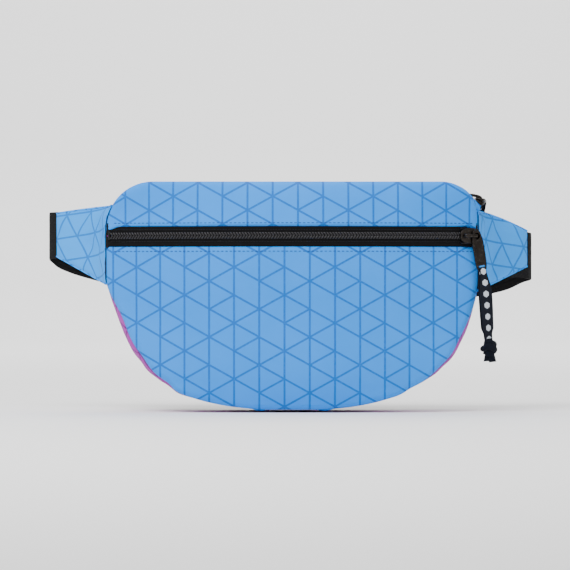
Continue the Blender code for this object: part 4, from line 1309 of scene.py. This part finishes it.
def wing(side):
    """Two covers round thin foam, turned in at the edges, soft where the wing leaves the bag."""
    sign = WINGS[side][0]
    shift = WING_PRINT[side]

    def cover(front):
        facing = -1 if front else 1

        def point(a, b):
            edge = min(b, 1 - b) * 2
            end = (1 - smooth_step(0.97, 1.0, a)) * smooth_step(0.0, 0.35, a)
            puff = (1 - (1 - min(1.0, edge * 3.2)) ** 2) ** 0.5 * (0.15 + 0.85 * end)
            ripple = rough(a * 4.5, b * 3.5, 4.0 * sign + facing, 1.6 * MM) * puff
            crease = -1.0 * MM * math.exp(-((a - 0.62 - 0.1 * b) / 0.07) ** 2) * puff
            return wing_point(side, a, b, facing * (WING_HALF * puff + 0.25 * MM + ripple + crease))

        def uv(a, b):
            share, pull = a ** 3, (1 - a) ** 3
            along = 50 * MM * share - 37 * MM * pull
            height = wing_height(side, share, b)
            return 1.08 * height + 0.12 * along + shift.x, sign * along + shift.y

        name = "front" if front else "back"
        centre = wing_point(side, 0.8, 0.5, -facing * 0.3)
        material, slot = (LIT_WING_BLUE, "blue_print") if front else (BACK_MESH, "back_mesh")
        nodes = [f"{side}_wing_{name}"] + ([f"{side}_wing_foam"] if front else [])
        piece = grid_object(f"{side}_wing_{name}_cloth", 60, 44, point, material, WING_CLOTH, centre, uv)
        ride(piece, "root", slot, *nodes)

    cover(True)
    cover(False)
    for name, rise in (("low", 0.0), ("high", 1.0)):
        path = [wing_point(side, a, rise, 0.0) for a in steps(0.0, 1.0, 50)]
        bound = tube(f"{side}_wing_edge_{name}", path, (0.9 * MM, 1.3 * MM), LIT_WING_BLUE, 10)
        ride(bound, "root", "blue_print")


# ---- belt and buckle ----

BELT_HEIGHT = 104 * MM
BELT_HALF = 19 * MM
BELT_THICK = 1.4 * MM
UPRIGHT_FROM = 175 * MM  # further out than this the belt stands upright
BUCKLE_Y = 32 * MM
# places of the fold and the run behind the bag in plan, and the height of the belt's middle there, in mm
BELT_FOLD = {
    "left": ((193.4, 32.0), (197.8, 36.0), (195.6, 39.8)),
    "right": ((193.0, 32.0), (195.3, 36.0), (193.6, 39.8)),
}
BELT_BEHIND = ((189, 41.4), (170, 40.5), (144, 39), (122, 36.8), (104, 35.4))
BELT_HEIGHTS = {
    "left": (139.5, 139, 136, 131, 125, 118, 113, 109),
    "right": (123, 122.5, 121.5, 120, 113, 107.5, 105, 104),
}
# through the buckle's slot and back, in plan, and the tail's tip as x, y and height, in mm
BELT_RETURN = ((88, 31.6), (70, 30.2), (50, 29.4), (42, 29.2), (39.6, 30.2), (39.0, 32.0),
               (39.6, 33.8), (42, 34.8), (50, 35.4))
TAIL_TIPS = {"left": (-126, 43.0, 51), "right": (139, 43.0, 71)}


def belt_place(x, y, height):
    return Vector((x * MM, y * MM, BASE_Z + height * MM))


def wing_middle(side, share, offset, rise):
    """A point over the belt's middle line on the wing, share 0 at its root to 1 at its tip."""
    place = wing_point(side, share ** (1 / 3), 0.5, offset)
    place.z = BASE_Z + WINGS[side][-1] + rise * MM
    return place


def belt_run(side):
    """Middle points of the belt from the wing, round the fold and in behind the bag."""
    sign = WINGS[side][0]
    points = [wing_middle(side, share, 3.5 * MM, 0.0) for share in (0.5, 0.75, 0.97)]
    for (x, y), height in zip(BELT_FOLD[side] + BELT_BEHIND, BELT_HEIGHTS[side]):
        points.append(belt_place(sign * x, y, height))
    return points


def belt_turn(side):
    """The belt's last stretch: into the buckle, round its bar and out again as the tail."""
    sign = WINGS[side][0]
    points = [Vector((sign * x * MM, y * MM, BASE_Z + BELT_HEIGHT)) for x, y in BELT_RETURN]
    start, tip = points[-1], belt_place(*TAIL_TIPS[side])
    for share in steps(0.0, 1.0, 5)[1:]:
        bow = Vector((0, 3, 6)) * MM * math.sin(math.pi * share)
        points.append(start.lerp(tip, share) + bow)
    return points


def belt_widths(points):
    """Half-width vectors, square to the belt's direction and turning slowly along it."""
    widths = []
    for i in range(len(points)):
        ahead = points[min(i + 1, len(points) - 1)] - points[max(i - 1, 0)]
        turning = math.hypot(ahead.x, ahead.z) < 0.75 * ahead.length or abs(ahead.y) > 0.4 * abs(ahead.x)
        if turning or abs(points[i].x) > UPRIGHT_FROM:
            widths.append(Vector((0, 0, 1)))
        else:
            slope = Vector((-ahead.z, 0, ahead.x)).normalized()
            widths.append(slope if ahead.x > 0 else -slope)
    for _ in range(6):
        softened = [(a + b * 2 + c).normalized() for a, b, c in zip(widths, widths[1:], widths[2:])]
        widths = [widths[0]] + softened + [widths[-1]]
    return [width * BELT_HALF for width in widths]


def box_stitches(side):
    """A crossed box of stitches where the belt is sewn to the wing."""
    sign = WINGS[side][0]
    near, far, half = 0.56, 0.90, 14
    sides = (((near, -half), (near, half)), ((far, -half), (far, half)),
             ((near, -half), (far, half)), ((near, half), (far, -half)))
    for number, corners in enumerate(sides):
        start, end = [wing_middle(side, share, 4.35 * MM, rise) for share, rise in corners]
        path = [start.lerp(end, t) for t in steps(0, 1, 24)]
        row = stitches(f"{side}_box_stitch_{number}", path, *BOX_STITCH,
                       lambda p: Vector((-sign * 0.6, 0.8, 0)), BLACK_THREAD)
        ride(row, "root", "webbing")


def belt(side):
    """One belt half in a single strip, from the wing to the end of its tail."""
    path = smooth_path(belt_run(side) + belt_turn(side), 5)
    return strap(f"{side}_belt_webbing", path, belt_widths(path), BELT_THICK, WEBBING)


def belts():
    """The left belt stays with the bag; the right one stretches when the buckle's male half pulls out."""
    ride(belt("left"), "root", "webbing", "left_belt")
    piece = belt("right")
    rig.slot(piece, "webbing")
    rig.replaces(piece, "right_belt", "right_belt_end")
    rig.blend(piece, "root", "buckle_male_half", start=(0.165, 0.04, 0.02), end=(0.06, 0.04, 0.01))
    for side in WINGS:
        box_stitches(side)


def buckle_details():
    """A raised pad on both faces of the female half and three grip ribs on both faces of the male half."""
    middle = Matrix.Translation((0, BUCKLE_Y, BASE_Z + BELT_HEIGHT))
    for face, turn in (("rear", -90), ("front", 90)):
        place = middle @ Matrix.Rotation(math.radians(turn), 4, "X")
        outline = oval(-12 * MM, 0, 19 * MM, 17 * MM, 5.0)
        pad = plate(f"buckle_pad_{face}", place, [outline], 5.5 * MM, 7.1 * MM, 0.55 * MM, PLASTIC)
        ride(pad, "root", "buckle_plastic")
        for number in range(3):
            name = f"buckle_rib_{face}_{number}"
            outline = oval((18 + 5.2 * number) * MM, 0, 1.3 * MM, 19 * MM, 6.0)
            rib = plate(name, place, [outline], 5.2 * MM, 6.7 * MM, 0.45 * MM, PLASTIC)
            ride(rib, "buckle_male_half", "buckle_plastic")


def carried_over_nodes():
    """The buckle's parts and the pieces inside the bag keep their CAD shape."""
    buckle = ("buckle_female", "buckle_male", "buckle_prong_upper", "buckle_prong_lower")
    inside = ("back_lining", "front_pocket_lining", "front_seam_binding", "rear_seam_binding")
    for node in buckle + inside:
        for slot in frame["nodes"][node].material_slots:
            slot.material = PLASTIC if node in buckle else LINING


# ---- stage ----

FLOOR_Z = BASE_Z - 1.8 * MM  # just below the back panel's binding
SWEEP = ((-4.5, 0.0), (3.3, 0.0), (3.9, 0.1), (4.3, 0.4), (4.5, 1.0), (4.5, 4.5))
LIGHTS = (
    # name, place, size, watts, target
    ("key", (-0.6, -0.85, 1.2), 1.0, 27, (0, 0, 0)),
    ("fill", (0.9, -1.4, 1.2), 1.4, 7, (0, 0, 0)),
    ("back", (0.0, 1.2, 1.9), 1.8, 30, (0, 0.5, 0)),
    ("backdrop", (0.0, 2.6, 2.6), 2.0, 95, (0, 4.6, 0.4)),
)
CAMERA_PLACE = (-5.6 * MM, -2.6, BASE_Z + 99 * MM)
FRONT_DISTANCE, VIEW_WIDTH = 2.555, 0.452  # from the camera to the bag's front, and the view's width there


def studio():
    """A pale floor that turns up into a backdrop, and soft lights."""
    vertices = [(x, y, FLOOR_Z + z) for y, z in SWEEP for x in (-5.0, 5.0)]
    faces = [(i * 2, i * 2 + 1, i * 2 + 3, i * 2 + 2) for i in range(len(SWEEP) - 1)]
    pale = Shader("studio_white", roughness=0.9, specular=0.1)
    pale.colour((0.93, 0.93, 0.93, 1.0))
    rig.stage(surface("studio_sweep", vertices, faces, pale.material))
    for name, place, size, power, target in LIGHTS:
        light = bpy.data.lights.new(name, "AREA")
        light.size = size
        light.energy = power
        lamp = bpy.data.objects.new(name, light)
        lamp.location = place
        lamp.rotation_euler = (Vector(target) - Vector(place)).to_track_quat("-Z", "Y").to_euler()
        bpy.context.collection.objects.link(lamp)
    world = bpy.data.worlds.new("studio_world")
    world.use_nodes = True
    world.node_tree.nodes["Background"].inputs[0].default_value = (1.0, 1.0, 1.0, 1.0)
    world.node_tree.nodes["Background"].inputs[1].default_value = 0.8
    bpy.context.scene.world = world


def camera():
    """A level camera in front, with a long lens."""
    lens = bpy.data.cameras.new("front_camera")
    lens.lens = lens.sensor_width * FRONT_DISTANCE / VIEW_WIDTH
    lens.dof.use_dof = False
    eye = bpy.data.objects.new("front_camera", lens)
    eye.location = CAMERA_PLACE
    eye.rotation_euler = (math.radians(90), 0, 0)
    bpy.context.collection.objects.link(eye)
    bpy.context.scene.camera = eye


camera()
front_panels()
bottom_gusset()
top_gusset()
back_panel()
zips()
pulls()
wing("left")
wing("right")
belts()
buckle_details()
carried_over_nodes()
studio()

with open("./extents.json", "w") as sizes:
    json.dump({"cad": [list(corner) for corner in CAD_BOX], "visual": [list(corner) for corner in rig.bounds()]}, sizes)
